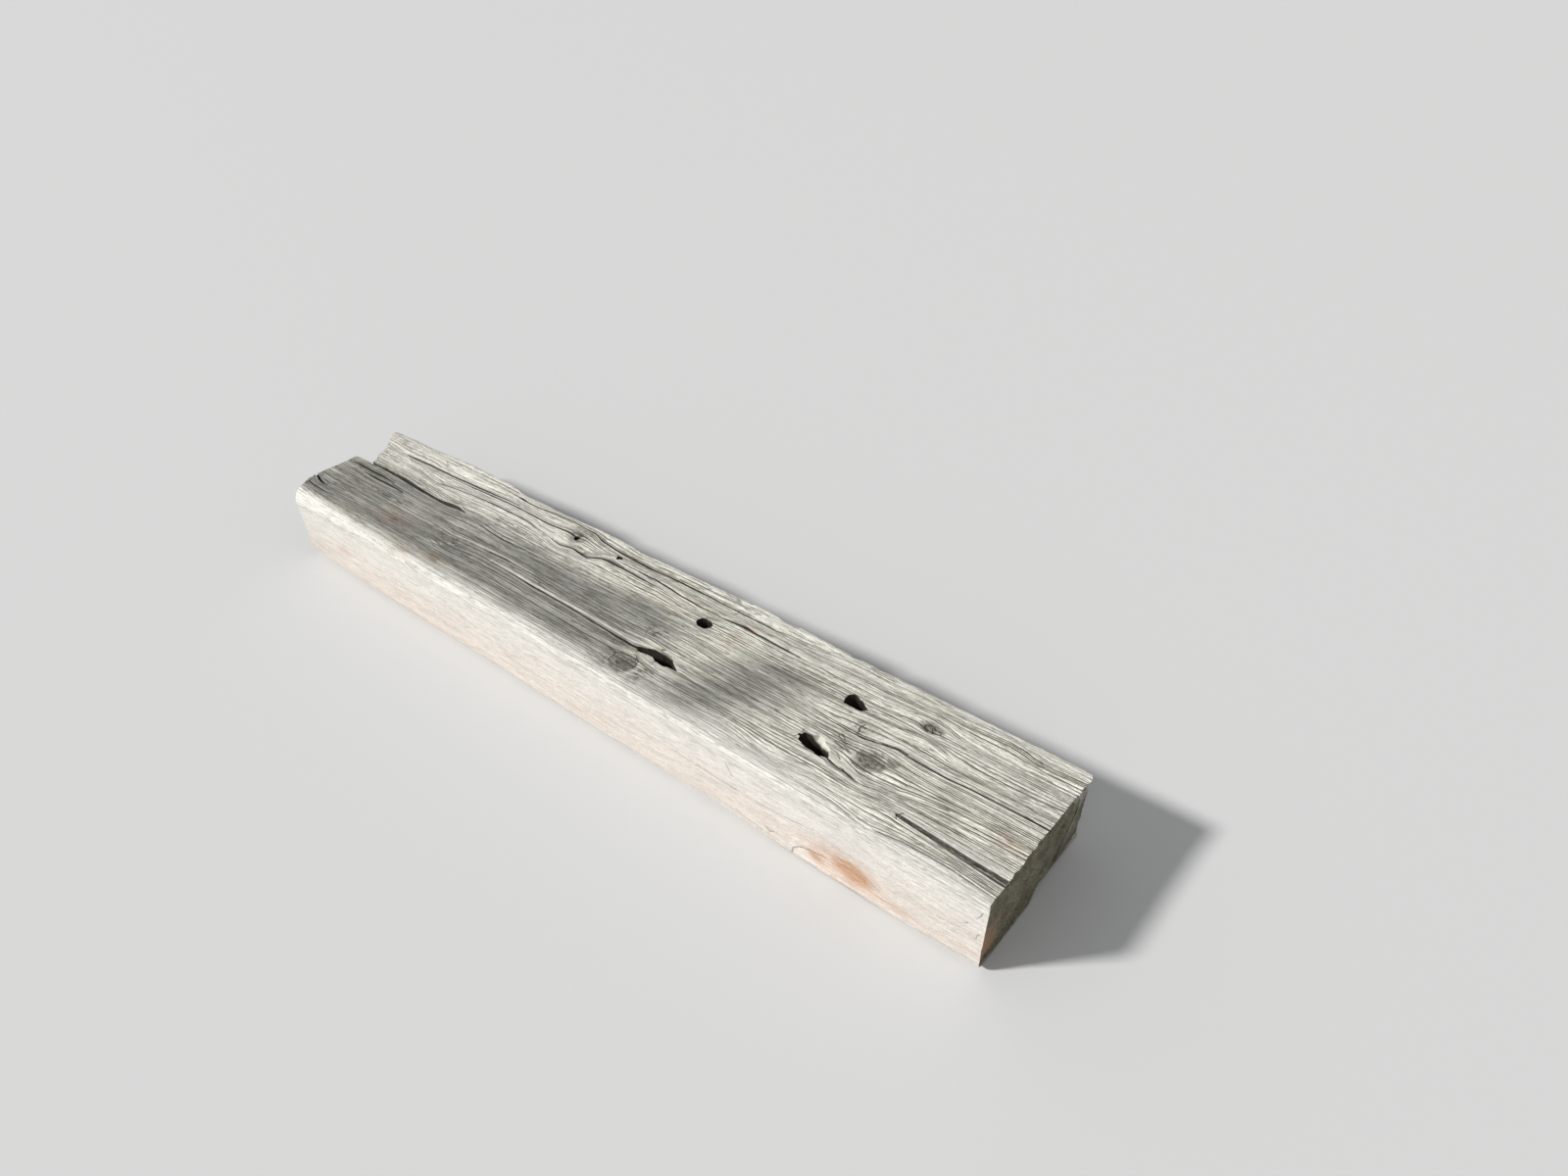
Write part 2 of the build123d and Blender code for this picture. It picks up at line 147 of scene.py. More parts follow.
# Skin of the timber. Its columns follow the grain lines, which are distances round a nominal section.
timberSkin = {
    "rows": 178, "rowSteps": 4000, "frontColumns": 50, "backColumns": 30, "underColumns": 22,
    "arrisColumns": {"frontTop": 16, "backTop": 8, "backLow": 6, "frontLow": 8},
    "frontRun": 122.0, "topRun": 234.0, "backRun": 129.0, "underRun": 230.0,  # nominal widths of the faces
    "arrisRuns": {"frontTop": 19.0, "backTop": 11.0, "backLow": 14.0, "frontLow": 17.0},
    "topInset": (12, 14),  # from the front and the back of the nominal top
    "busyPlaces": [  # where rows crowd: distance from the sound end, reach, strength
        (4, 30, 3.0), (248, 75, 1.3), (322, 45, 1.6), (510, 24, 1.6), (625, 55, 1.6), (950, 40, 0.8),
        (1520, 50, 1.6)],
    "wearBlur": 60,  # the wear changes softly over this length
    "bends": {"frontBend": 3.0, "longBend": 5.0, "shortBend": 1.8},  # how far the grain sways
    "calmShares": {"front": (0.08, 0.15), "top": (0.05, 0.05)},  # near a face's edges it runs straight
    "movedShares": (0.12, 0.75),  # the top's columns move with the worn edges outside these
    "ringWidths": (2.5, 6.0), "ringCount": 260, "ringSeed": 11,  # distances between the grooves of the grain
    "sideRoom": 2, "matchSlack": 0.1,  # grooves keep off the top's edges, columns are matched this closely
    "slope": 0.42, "lip": 0.95, "crestStep": 2.1,  # columns beside a groove's middle, and on the crests
    "topRelief": 1.15, "frontRelief": 0.35, "backRelief": 0.6, "underRelief": 0.25,  # depth of the grooves
    "grooveHalf": (0.5, 1.4),  # half width of a groove in the top and elsewhere
    "backJags": 4.6, "backRoom": 0.1,  # how far the back waves, and how near it comes to the widest place
    "knotPush": (0.35, 1.5, 0.85),  # reach of a knot's push: its core and its rim across, and along
    "leastStep": 0.125,  # between neighbouring columns
    "followReach": 11.0, "followMost": 9.0, "followFade": 80,  # how columns bend towards a check
    "openShare": 0.35, "openReach": 9.0,  # how they make room for its width
    "checkCurve": 1.6, "slopedCurve": 1.3, "fullHalf": 1.0, "leastShare": 0.3,  # section of a check
    "crackDepth": 7, "steepWall": 1.6, "wallDepth": 3,  # depths at which the painted shade in cracks is full
    "sharpAngle": 62,
}

# Wear of the long edges, as in the part's source: share of the length from the sound end,
# front top radius, front bottom radius, back top radius, back bottom radius, loss of width at the back
edgeWear = np.array([
    (0.000, 8, 19, 6, 12, 10), (0.045, 9, 13, 6, 10, 8.5), (0.110, 10, 5, 6, 9, 8), (0.190, 11, 4, 7, 9, 8),
    (0.245, 12, 11, 7, 9, 7), (0.300, 13, 19, 7, 10, 4), (0.380, 14, 13, 7, 11, 2.5),
    (0.460, 13, 11, 7, 11, 6.5), (0.540, 12, 11, 7, 10, 9), (0.610, 12, 12, 7, 9, 4.5),
    (0.680, 13, 11, 7, 9, 8.5), (0.735, 13, 11, 7, 9, 7.5), (0.775, 14, 11, 7, 10, 0.5),
    (0.850, 15, 12, 7, 11, 0.5), (0.915, 17, 14, 8, 12, 5.5), (0.970, 20, 20, 9, 13, 6.5),
    (1.000, 24, 26, 10, 14, 8),
])

# Knots: distance from the sound end, distance from the front (or height, on the front face), length, width,
# how far they push the grain aside, how far they are sunk, how dark they are
topKnots = [
    (248, 97, 44, 31, 8.5, 1.6, 1.0), (284, 143, 30, 24, 3.0, 0.8, 0.45), (215, 195, 30, 17, 5.5, 1.8, 0.9),
    (220, 112, 16, 15, 1.0, 0.6, 0.6),
    (656, 41, 42, 37, 9.0, 1.8, 1.0), (953, 214, 30, 24, 8.0, 2.2, 0.8), (1131, 78, 64, 30, 4.0, 1.2, 0.2),
]
frontKnots = [(272, 12, 72, 52, 15.0, 0.8, 0.25), (212, 20, 60, 44, 12.0, 0.8, 0.3)]

# Drying checks in the top: depth, then distance from an end, distance from the front and width at each point
soundChecks = {
    "main": (16, [
        (-8, 136, 3), (47, 136, 2.8), (108, 135, 2.5), (150, 132, 2.6), (192, 133, 2.6), (228, 137, 2.2),
        (256, 131, 1.9), (282, 125, 1.9), (342, 124, 0.6)]),
    "liftedGrain": (6, [(-8, 34.5, 11), (62, 38, 8), (108, 41.5, 6), (162, 44.5, 4), (172, 45, 0.5)]),
    "seat": (16, [(296, 69, 3.2), (270, 65, 2.2), (246, 60.5, 1.7), (228, 59, 1.4), (208, 64, 0.5)]),
    "farHole": (16, [
        (650, 77.5, 5), (662, 75.5, 4.5), (675, 75, 4), (707, 75, 3), (757, 77, 2.5), (837, 80, 2.5),
        (907, 79.5, 3), (967, 82, 2), (1045, 84, 0.5)]),
    "backMiddle": (16, [
        (446, 201, 0.5), (468, 201, 3), (539, 202, 3.5), (560, 204, 6), (606, 200, 2), (651, 200, 2),
        (697, 202, 2.5), (722, 205, 3.5), (752, 208.5, 3), (780, 212, 2.5), (837, 212, 0.5)]),
    "pits": (16, [
        (732, 197, 0.5), (777, 196, 3.5), (817, 198, 4), (845, 201, 7), (862, 201, 6), (877, 193, 3),
        (894, 183, 4.5), (937, 187, 3.5), (954, 183, 2.5), (990, 175, 0.5)]),
    "backEdge": (9, [
        (452, 225.5, 0.5), (560, 225, 2.2), (680, 227, 2.4), (746, 227, 2.6), (776, 224, 3.5), (861, 226, 4),
        (907, 231, 3), (936, 240, 2.5), (996, 242, 2.5), (1068, 236, 2.5), (1110, 234, 3), (1132, 235.5, 6),
        (1140, 236, 0.5)]),
    "knotHole": (9, [
        (954, 227, 0.5), (981, 217, 3), (1026, 211, 3), (1146, 210, 3), (1206, 207, 2.5), (1236, 202, 2.5),
        (1306, 198, 0.5)]),
    "strand": (9, [
        (1028, 198, 0.5), (1086, 196, 2.5), (1156, 195, 3), (1206, 192.5, 2.5), (1260, 186, 2.5),
        (1300, 180, 0.5)]),
    "thinFront": (2.5, [(-8, 12, 1.4), (62, 17, 1.2), (110, 17, 1.1), (140, 15, 1.1), (183, 8, 0.5)]),
    "backNick": (4, [(60, 226, 0.5), (78, 228, 2.2), (92, 232, 2), (108, 235, 0.5)]),
    "thinMiddle": (4, [(1044, 172, 0.5), (1090, 173, 2), (1146, 174, 0.5)]),
    "ridgeFoot": (5, [(980, 138, 0.5), (1026, 136, 2), (1068, 135, 2.2), (1101, 138, 2), (1128, 141, 0.5)]),
}
brokenChecks = {
    "back": (16, [
        (92, 206, 0.5), (120, 207, 3), (170, 210, 3.5), (222, 210, 3.5), (311, 216, 3), (374, 217.5, 2.5),
        (434, 220, 0.5)]),
    "openSplit": (26, [
        (55, 150, 5), (84, 151, 5), (132, 151, 6), (174, 150, 8), (224, 146.5, 6), (282, 145, 5),
        (310, 148, 10), (328, 150, 8), (350, 148, 0.5)]),
    "groove": (16, [(14, 132, 0.5), (40, 135, 4.5), (84, 134.5, 4.5), (132, 135, 4), (150, 134, 0.5)]),
    "secondGroove": (9, [(74, 121.5, 0.5), (112, 120, 4.5), (154, 120.5, 4.5), (206, 121.5, 0.5)]),
    "front": (16, [(-6, 67, 4), (6, 63, 4.5), (24, 57, 4.5), (39, 55, 3.5), (56, 54.5, 0.5)]),
    "frontEdge": (9, [(-6, 44.5, 3), (24, 41.5, 3), (75, 41, 2.5), (96, 41, 0.5)]),
}
longCheck = 40  # checks shorter than this leave the columns where they are

# Checks whose painted shade inside is paler than their depth would give, as a share of the full darkness
paleChecks = {
    "liftedGrain": 0.42, "thinFront": 0.7, "seat": 0.5, "backEdge": 0.7, "frontEdge": 0.5, "backMiddle": 0.85}
slopedChecks = {"liftedGrain"}  # these deepen steadily towards the back and end in a sharp lip there

# Grain grooves, as in the part's source: shallow lines that follow the grain round the knots
grainGrooves = [
    [(6, 93, 0.5), (60, 92, 2.2), (120, 89, 2.4), (176, 80, 2.2), (214, 66, 0.5)],
    [(6, 165, 0.5), (60, 161, 2.2), (118, 160, 2.4), (158, 164.5, 2.2), (196, 174, 0.5)],
    [(8, 199, 0.5), (70, 200, 2.2), (130, 201.5, 2.4), (176, 205, 2.2), (200, 209, 0.5)],
    [(236, 205, 0.5), (262, 199, 2.2), (300, 194, 2.4), (400, 194, 2.2), (438, 193, 0.5)],
    [(360, 74.5, 0.5), (400, 73, 2.4), (460, 72, 2.6), (520, 71, 2.4), (568, 72, 0.5)],
    [(358, 25.5, 0.5), (385, 27.5, 2.2), (420, 34, 2.4), (455, 38, 2.2), (505, 35, 0.5)],
    [(376, 134, 0.5), (412, 134, 2.2), (450, 134.5, 2.2), (508, 137, 0.5)],
    [(612, 131, 0.5), (655, 131.5, 2.4), (705, 131, 2.4), (752, 133, 2.2), (790, 133, 0.5)],
    [(938, 101.5, 0.5), (1010, 101, 2.6), (1065, 98, 2.6), (1120, 95, 2.2), (1150, 92, 0.5)],
    [(1144, 234, 0.5), (1182, 229, 2.4), (1240, 226, 2.2), (1300, 221, 0.5)],
    [(1256, 98, 0.5), (1300, 98, 2.4), (1360, 98.5, 2.4), (1406, 99, 0.5)],
]
grooveDepth, grooveShade = 4, 0.42


def wearAlong(x):
    # each wear value, in a straight line between its places, then averaged over the blur's length
    blur = timberSkin["wearBlur"]
    fine = np.linspace(brokenEnd - blur, soundEnd + blur, round(timberLength) + 2 * blur + 1)
    share = np.clip((soundEnd - fine) / timberLength, 0, 1)
    kernel = np.hanning(blur + 1)
    kernel /= kernel.sum()
    values = []
    for column in edgeWear.T[1:]:
        line = np.interp(share, edgeWear[:, 0], column)
        padded = np.pad(line, blur // 2, mode="edge")
        values.append(np.interp(x, fine, np.convolve(padded, kernel, mode="valid")))
    return values


def rowPlaces(count):
    # rows crowd at the busy places: their spacing is the inverse of 1 + the bells that stand at those places
    fine = np.linspace(0, timberLength, timberSkin["rowSteps"])
    density = np.ones_like(fine)
    for place, reach, strength in timberSkin["busyPlaces"]:
        density += strength * bell((fine - place) / reach)
    total = np.concatenate([[0], np.cumsum((density[1:] + density[:-1]) / 2)])
    return fromSound(np.interp(np.linspace(0, total[-1], count), total, fine))[::-1]


def grainBend(name, x, y):
    # height * (noise - 0.5)
    return timberSkin["bends"][name] * (noise(name, x, y) - 0.5)


def grainPush(along, across, knots, acrossPlace):
    # each knot moves the grain by push * tanh(d/c) * exp(-(d/r)^2) * exp(-(a/l)^2), away from its own line
    core, rim, reach = timberSkin["knotPush"]
    moved = np.zeros_like(along + across)
    for a, b, length, width, push, sink, dark in knots:
        away = across - acrossPlace(b)
        bells = bell(away / (rim * width)) * bell((along - fromSound(a)) / (reach * length))
        moved = moved + push * np.tanh(away / (core * width)) * bells
    return moved


def topRoutes():
    # every check in the top face, long ones first: its depth, its share of painted shade, its points in the
    # order of x, and whether it slopes
    followed, crossing = [], []
    for group, along in ((soundChecks, fromSound), (brokenChecks, fromBroken)):
        for name, (deep, route) in group.items():
            points = np.array(sorted(placed(route, along)))
            check = (deep, paleChecks.get(name, 1.0), points, name in slopedChecks)
            (followed if points[-1, 0] - points[0, 0] > longCheck else crossing).append(check)
    for route in grainGrooves:
        followed.append((grooveDepth, grooveShade, np.array(sorted(placed(route, fromSound))), False))
    return followed, crossing


def evenOut(y):
    # no column comes nearer to the last than the least step, and the whole row keeps its width
    step = np.maximum(np.diff(y, axis=1), timberSkin["leastStep"])
    run = np.concatenate([0 * y[:, :1], np.cumsum(step, axis=1)], axis=1)
    return y[:, :1] + run * (y[:, -1:] - y[:, :1]) / run[:, -1:]


def bendToChecks(x, y, line, middles, followed):
    # The groove whose line is nearest to a check's mean y is drawn onto the check, and its neighbours by
    # move * exp(-(d/s)^2), shared out where checks are close. Returns y and the column that each check owns.
    most, fade = timberSkin["followMost"], timberSkin["followFade"]
    total, weight = np.zeros_like(y), np.zeros_like(y)
    owners = []
    for deep, shade, route, sloped in followed:
        first, last = route[0, 0], route[-1, 0]
        order = np.argsort(np.abs(line[middles] - route[:, 1].mean()))
        own = next(int(middles[i]) for i in order if int(middles[i]) not in owners)
        owners.append(own)
        move = np.clip(np.interp(x[:, 0], route[:, 0], route[:, 1]) - y[:, own], -most, most)
        reach = softStep(x[:, 0], first - fade, first) * (1 - softStep(x[:, 0], last, last + fade))
        near = bell((line - line[own]) / timberSkin["followReach"])[None, :] * reach[:, None]
        total += near * move[:, None]
        weight += near
    return evenOut(y + total / np.maximum(1, weight)), owners


def openToWidth(x, y, line, owners, followed):
    # Each check's groove opens to its width: its five columns stand at 0, 0.35 and 1 half widths, and those
    # beyond step back by exp(-(d/r)^2). Returns y and the half width of each check along the rows.
    lip, slope, slack = timberSkin["lip"], timberSkin["slope"], timberSkin["matchSlack"]
    halves = []
    for own, (deep, shade, route, sloped) in zip(owners, followed):
        inside = (x[:, 0] >= route[0, 0]) & (x[:, 0] <= route[-1, 0])
        half = np.where(inside, np.interp(x[:, 0], route[:, 0], route[:, 2]) / 2, 0)[:, None]
        away = np.abs(line - line[own])[None, :]
        side = np.sign(line - line[own])[None, :]
        past = bell(np.maximum(away - lip, 0) / timberSkin["openReach"]) * (away > lip - slack)
        onSlope = np.abs(away - slope) < slack
        y = y + side * (np.maximum(half - lip, 0) * past
                        + np.maximum(timberSkin["openShare"] * half - slope, 0) * onSlope)
        halves.append(half)
    return evenOut(y), halves


def layChecks(x, y, line, middles):
    skin = timberSkin
    followed, crossing = topRoutes()
    y, owners = bendToChecks(x, y, line, middles, followed)
    y, halves = openToWidth(x, y, line, owners, followed)
    # depth of the checks, and the painted shade in them
    depth, darkness = np.zeros_like(y), np.zeros_like(y)
    for own, half, (deep, shade, route, sloped) in zip(owners, halves, followed):
        across = (y - y[:, own:own + 1]) / np.maximum(half, crackShape["leastHalf"])
        profile = np.clip(1 - np.abs(across) ** skin["checkCurve"], 0, 1)
        if sloped:
            profile = np.clip((across + 1) / 2, 0, 1) ** skin["slopedCurve"] * (across < 1.05)
        share = np.clip(half / skin["fullHalf"], skin["leastShare"], 1)
        mine = np.abs(line - line[own])[None, :] < skin["lip"] + skin["matchSlack"]
        cut = deep * share * profile * mine * (half > 0)
        depth, darkness = np.maximum(depth, cut), np.maximum(darkness, shade * cut)
    for deep, shade, route, sloped in crossing:
        cut = routeDepth(x + 0 * y, y, route, deep)
        depth, darkness = np.maximum(depth, cut), np.maximum(darkness, shade * cut)
    return y, depth, darkness


def ringGrooves():
    # middles of the grooves between rings, as distances round the section
    draw = np.random.default_rng(timberSkin["ringSeed"])
    return np.cumsum(draw.uniform(*timberSkin["ringWidths"], timberSkin["ringCount"]))


def columnPlaces():
    # Nominal distance round the section of each column, which is the grain line that the column follows.
    # Across the top each groove has five columns and the crest between two grooves has evenly spaced ones.
    skin = timberSkin
    arrises, lengths = skin["arrisColumns"], skin["arrisRuns"]
    start = skin["frontRun"] + lengths["frontTop"]
    finish = start + skin["topRun"]
    grooves = ringGrooves()
    grooves = grooves[(grooves > start + skin["sideRoom"]) & (grooves < finish - skin["sideRoom"])]
    lip, slope = skin["lip"], skin["slope"]
    top = [np.linspace(start, grooves[0] - lip, 3)[:-1]]
    for middle, following in zip(grooves, np.append(grooves[1:], finish + lip)):
        count = 2 + int((following - middle - 2 * lip) / skin["crestStep"])
        crest = np.linspace(middle + lip, following - lip, count)
        top.append(np.concatenate([middle + np.array([-lip, -slope, 0, slope]), crest[:-1]]))
    top = np.concatenate(top + [[finish]])
    middles = np.searchsorted(top, grooves)
    steps = []
    for count, length in [
            (arrises["backTop"], lengths["backTop"]), (skin["backColumns"], skin["backRun"]),
            (arrises["backLow"], lengths["backLow"]), (skin["underColumns"], skin["underRun"]),
            (arrises["frontLow"], lengths["frontLow"])]:
        steps.append(np.full(count, length / count))
    front = np.linspace(0, skin["frontRun"], skin["frontColumns"])
    count = arrises["frontTop"]
    arris = skin["frontRun"] + (np.arange(count) + 0.5) / count * lengths["frontTop"]
    rest = finish + np.cumsum(np.concatenate(steps))
    return np.concatenate([front, arris, top, rest]), top - start, middles


def awayFromSides(t, first, last):
    # 0 at t = 0 and t = 1, and 1 further than the given shares from them
    return softStep(t, 0, first) * softStep(1 - t, 0, last)


def frontSide(x, top, low):
    # straight up between the arrises, with the grain's columns bent by noise and pushed aside by the knots
    t = np.linspace(0, 1, timberSkin["frontColumns"])[None, :]
    z = low + (timberHeight - top - low) * t
    moved = grainBend("frontBend", x, z) + grainPush(x, z, frontKnots, lambda height: height)
    return z + awayFromSides(t, *timberSkin["calmShares"]["front"]) * moved


def topSide(x, edgeFront, edgeBack):
    # straight across between the arrises: the nominal columns, shifted near both edges to meet the worn
    # arrises, bent by noise, pushed aside by the knots and drawn onto the checks
    skin = timberSkin
    _, places, middles = columnPlaces()
    t = (places / skin["topRun"])[None, :]
    insetFront, insetBack = skin["topInset"]
    nominalFront, nominalBack = frontFace + insetFront, backFace - insetBack
    y = nominalFront + (nominalBack - nominalFront) * t
    line = y[0]
    movedFront, movedBack = skin["movedShares"]
    y = (y + (edgeFront - nominalFront) * (1 - softStep(t, 0, movedFront))
         + (edgeBack - nominalBack) * softStep(t, movedBack, 1))
    sway = grainBend("longBend", x, y) + grainBend("shortBend", x, y)
    sway = sway + grainPush(x, y, topKnots, fromFront)
    y = evenOut(y + awayFromSides(t, *skin["calmShares"]["top"]) * sway)
    return layChecks(x, y, line, middles)


def sectionGrid(x):
    # x is a column of row places. Each point lies on a straight run between two arrises, or on an arris at
    # centre + radius * (cos, sin) of an angle that turns a quarter. Returns y, z, the outward normal, and the
    # depth and darkness of the checks in the top.
    frontTop, frontLow, backTop, backLow, loss = [value[:, None] for value in wearAlong(x)]
    x = x[:, None]
    jags = timberSkin["backJags"] * (noise("backJags", x, 0 * x) - 0.45)
    back = np.minimum(backFace - loss - jags, backFace - timberSkin["backRoom"])

    def arris(name, centreY, centreZ, radius, start):
        count = timberSkin["arrisColumns"][name]
        angle = start - (np.arange(count)[None, :] + 0.5) / count * math.pi / 2
        flatHere = 0 * x + 0 * angle
        return (centreY + radius * np.cos(angle), centreZ + radius * np.sin(angle),
                np.cos(angle) + flatHere, np.sin(angle) + flatHere, flatHere, flatHere)

    def straight(y, z, normalY, normalZ):
        flatHere = 0 * y + 0 * z
        return y + flatHere, z + flatHere, normalY + flatHere, normalZ + flatHere, flatHere, flatHere

    y, checks, darkness = topSide(x, frontFace + frontTop, back - backTop)
    t = np.linspace(0, 1, timberSkin["backColumns"])[None, :]
    backZ = timberHeight - backTop - (timberHeight - backTop - backLow) * t
    t = np.linspace(0, 1, timberSkin["underColumns"])[None, :]
    underY = (back - backLow) + (frontFace + frontLow - back + backLow) * t
    runs = [
        straight(frontFace, frontSide(x, frontTop, frontLow), -1, 0),
        arris("frontTop", frontFace + frontTop, timberHeight - frontTop, frontTop, math.pi),
        (y, timberHeight + 0 * y, 0 * y, 1 + 0 * y, checks, darkness),
        arris("backTop", back - backTop, timberHeight - backTop, backTop, math.pi / 2),
        straight(back, backZ, 1, 0),
        arris("backLow", back - backLow, backLow, backLow, 0),
        straight(underY, 0, 0, -1),
        arris("frontLow", frontFace + frontLow, frontLow, frontLow, -math.pi / 2),
    ]
    return [np.concatenate([run[part] for run in runs], axis=1) for part in range(6)]


def ringValley(grain, x):
    # 0 on a ring's hard crest and up to 1 in the groove: v = strength * exp(-(d/w)^2), with d the distance to
    # the groove's middle. The strength of each groove drifts along the timber. The material paints shade into
    # the grooves by it.
    skin, arrises = timberSkin, timberSkin["arrisRuns"]
    grooves = ringGrooves()
    nearest = np.abs(grain[:, None] - grooves[None, :]).argmin(axis=1)
    topEnd = skin["frontRun"] + arrises["frontTop"] + skin["topRun"] + arrises["backTop"]
    width = np.where((grain > skin["frontRun"]) & (grain < topEnd), *skin["grooveHalf"])
    slow = noise("grooveSlow", x[:, None], nearest[None, :] * 7.0)
    quick = noise("grooveQuick", x[:, None], nearest[None, :] * 5.0)
    strength = softStep(slow, 0.05, 0.75) * (0.75 + 0.5 * quick)
    return np.clip(bell((grain - grooves[nearest]) / width)[None, :] * strength, 0, 1)


# Short narrow drying cracks along the grooves, drawn at random
fineCracks = {"seed": 77, "count": 300, "reach": (20, 170), "depth": (0.8, 3.0), "halfWidth": 0.5}


def fineChecks(grain, x):
    # depth = d * (1 - (a/l)^2) * exp(-(g/w)^2), with a along the crack and g across it
    plan = fineCracks
    draw = np.random.default_rng(plan["seed"])
    depth = np.zeros((len(x), len(grain)))
    for start, line, reach, deep in zip(
            draw.uniform(brokenEnd, soundEnd, plan["count"]), draw.choice(ringGrooves(), plan["count"]),
            draw.uniform(*plan["reach"], plan["count"]), draw.uniform(*plan["depth"], plan["count"])):
        near = np.abs(grain - line) < 4 * plan["halfWidth"]
        along = np.clip(1 - ((x - start) / reach) ** 2, 0, 1)[:, None]
        section = bell((grain[near] - line) / plan["halfWidth"])
        depth[:, near] = np.maximum(depth[:, near], deep * along * section)
    return depth


# A knot's section, as shares of the way to its rim and of how far it is sunk
knotShape = {"bowlEdge": (0.7, 1.1), "bowl": 0.6, "grooveHalf": 0.14, "groove": 0.8, "darkEdge": (0.8, 1.35)}


def knotFields(along, across, knots, acrossPlace):
    # for each knot q = 1 on its rim: a shallow bowl with a groove round it, a little out of round
    shape = knotShape
    sunk, dark = np.zeros_like(along), np.zeros_like(along)
    for number, (a, b, length, width, push, sink, tone) in enumerate(knots):
        dx, dy = (along - fromSound(a)) / (length / 2), (across - acrossPlace(b)) / (width / 2)
        angle = np.arctan2(dy, dx)
        q = np.hypot(dx, dy) * (1 + 0.08 * np.sin(3 * angle + number) + 0.05 * np.sin(7 * angle + 2 * number))
        rim = bell((q - 1.0) / shape["grooveHalf"]) * (0.3 + 0.7 * noise("knotRim", angle, q, number))
        bowl = 1 - softStep(q, *shape["bowlEdge"])
        sunk = np.maximum(sunk, sink * (shape["bowl"] * bowl + shape["groove"] * rim))
        dark = np.maximum(dark, tone * (1 - softStep(q, *shape["darkEdge"])))
    return sunk, dark


# Chips out of the back top edge: distance from the sound end, length, depth, height
backChips = [(512, 40, 6, 14), (1128, 34, 4, 18), (386, 26, 3, 10)]
chipShape = {"endFade": 8, "rise": 4, "rim": (22, 12), "share": 0.8, "rimShare": 0.35}


def chipDepth(x, y, z, top, back):
    # each chip is a soft step along the edge times one up the back face, with a shallow rim on the top
    shape = chipShape
    depth = np.zeros_like(x)
    rimStart, rimFull = [backFace - distance for distance in shape["rim"]]
    rim = shape["rimShare"] * softStep(y, rimStart, rimFull) * top
    for a, length, deep, height in backChips:
        bite = softStep(length / 2 - np.abs(x - fromSound(a)), 0, shape["endFade"])
        edge = softStep(z, timberHeight - height - shape["rise"], timberHeight - height)
        edge = edge * softStep(back + top, 0.9, 1.1) * (y > 0)
        depth = depth + shape["share"] * deep * bite * np.maximum(edge * (back > 0.2), rim)
    return depth


def reliefGrid(x, y, z, normalY, normalZ, grain, checks, darkness):
    # how far each point of the skin is eaten inwards, the grooves of the grain, and the painted shade in the
    # cracks
    skin = timberSkin
    alongX = x + 0 * y
    top, front = np.clip(normalZ, 0, 1), np.clip(-normalY, 0, 1)
    back, under = np.clip(normalY, 0, 1), np.clip(-normalZ, 0, 1)
    valley = ringValley(grain, x[:, 0])
    amplitude = (skin["topRelief"] * top ** 2 + skin["frontRelief"] * front ** 2
                 + skin["backRelief"] * back ** 2 + skin["underRelief"] * under ** 2)
    worn = 0.55 + 0.9 * noise("wear", alongX, y)
    swell = (0.35 * top + 0.25) * noise("swell", alongX, grain[None, :])
    sunk, knotDark = knotFields(alongX, y, topKnots, fromFront)
    frontSunk, frontDark = knotFields(alongX, z, frontKnots, lambda height: height)
    sunk = np.where(top > 0.5, sunk, np.where(front > 0.5, frontSunk, 0))
    knotDark = np.where(top > 0.5, knotDark, np.where(front > 0.5, frontDark, 0))
    fine = fineChecks(grain, x[:, 0]) * (0.35 + 0.65 * top) * (1 - knotDark)
    depth = amplitude * worn * valley + swell + chipDepth(alongX, y, z, top, back)
    return depth + sunk + checks + fine, valley, darkness + fine


# Ends: lean of the sound end, decay of its lower back corner, and the broken end's outline, as in the part's
# source, then how rough the fibres and the rings of both faces are
ends = {
    "lean": 13.0, "cornerRadius": 15.0, "cornerLoss": 9.0, "cornerMost": 0.98,  # the share that is turned
    "decayLength": 110.0, "decayHeight": 28.0, "decayFromFront": 124.0, "decayEdge": (2, 16),
    "brokenOutline": [(0, 22), (30, 9), (46, 1), (64, 0), (88, 3), (118, 8), (147, 9.5), (203, 0), (260, 0)],
    "ragged": 6.5, "brokenRagged": 3, "moved": 90,  # how far a rim is torn, and the length that moves with it
    "calmBack": (48, 24),  # near the back the sound end's rim is torn less
    "capSizes": {1: (84, 48), -1: (64, 36)}, "capInset": 1.6,  # columns and rows, gap to the rim
    "faceRelief": 2.4, "rough": 1.1, "fibre": 0.8, "ring": 0.35, "darkAt": 8,  # painted shade is full where eaten this far
    "pith": (12, 52), "ringPitch": 5.2,  # the rings' middle, across and up, and how far apart they are
    "shakes": 5, "shakeDepth": 5.0, "shakeSharpness": 30, "shakeStart": (15, 50),  # cracks out of the pith
    "redCorner": (8, 42, 24, 38),  # distance from the front, height, reach across and up
}


def decayRise(x, y):
    # underside lifted by h * soft rise past the decay's inner side * soft rise towards the sound end
    inner, (before, after) = fromFront(ends["decayFromFront"]), ends["decayEdge"]
    reach = softStep(x, soundEnd - ends["lean"] - ends["decayLength"], soundEnd)
    wave = 0.85 + 0.3 * noise("decay", x, y)
    return ends["decayHeight"] * wave * reach * softStep(y, inner - before, inner + after)


def soundFace(y, z):
    # x of the sound end: a plane that leans back towards its foot and turns round the back corner by
    # r - sqrt(r^2 - d^2)
    radius = ends["cornerRadius"]
    past = np.clip(y - (backFace - ends["cornerLoss"] - radius), 0, radius * ends["cornerMost"])
    return soundEnd - ends["lean"] * (1 - z / timberHeight) - radius + np.sqrt(radius ** 2 - past ** 2)


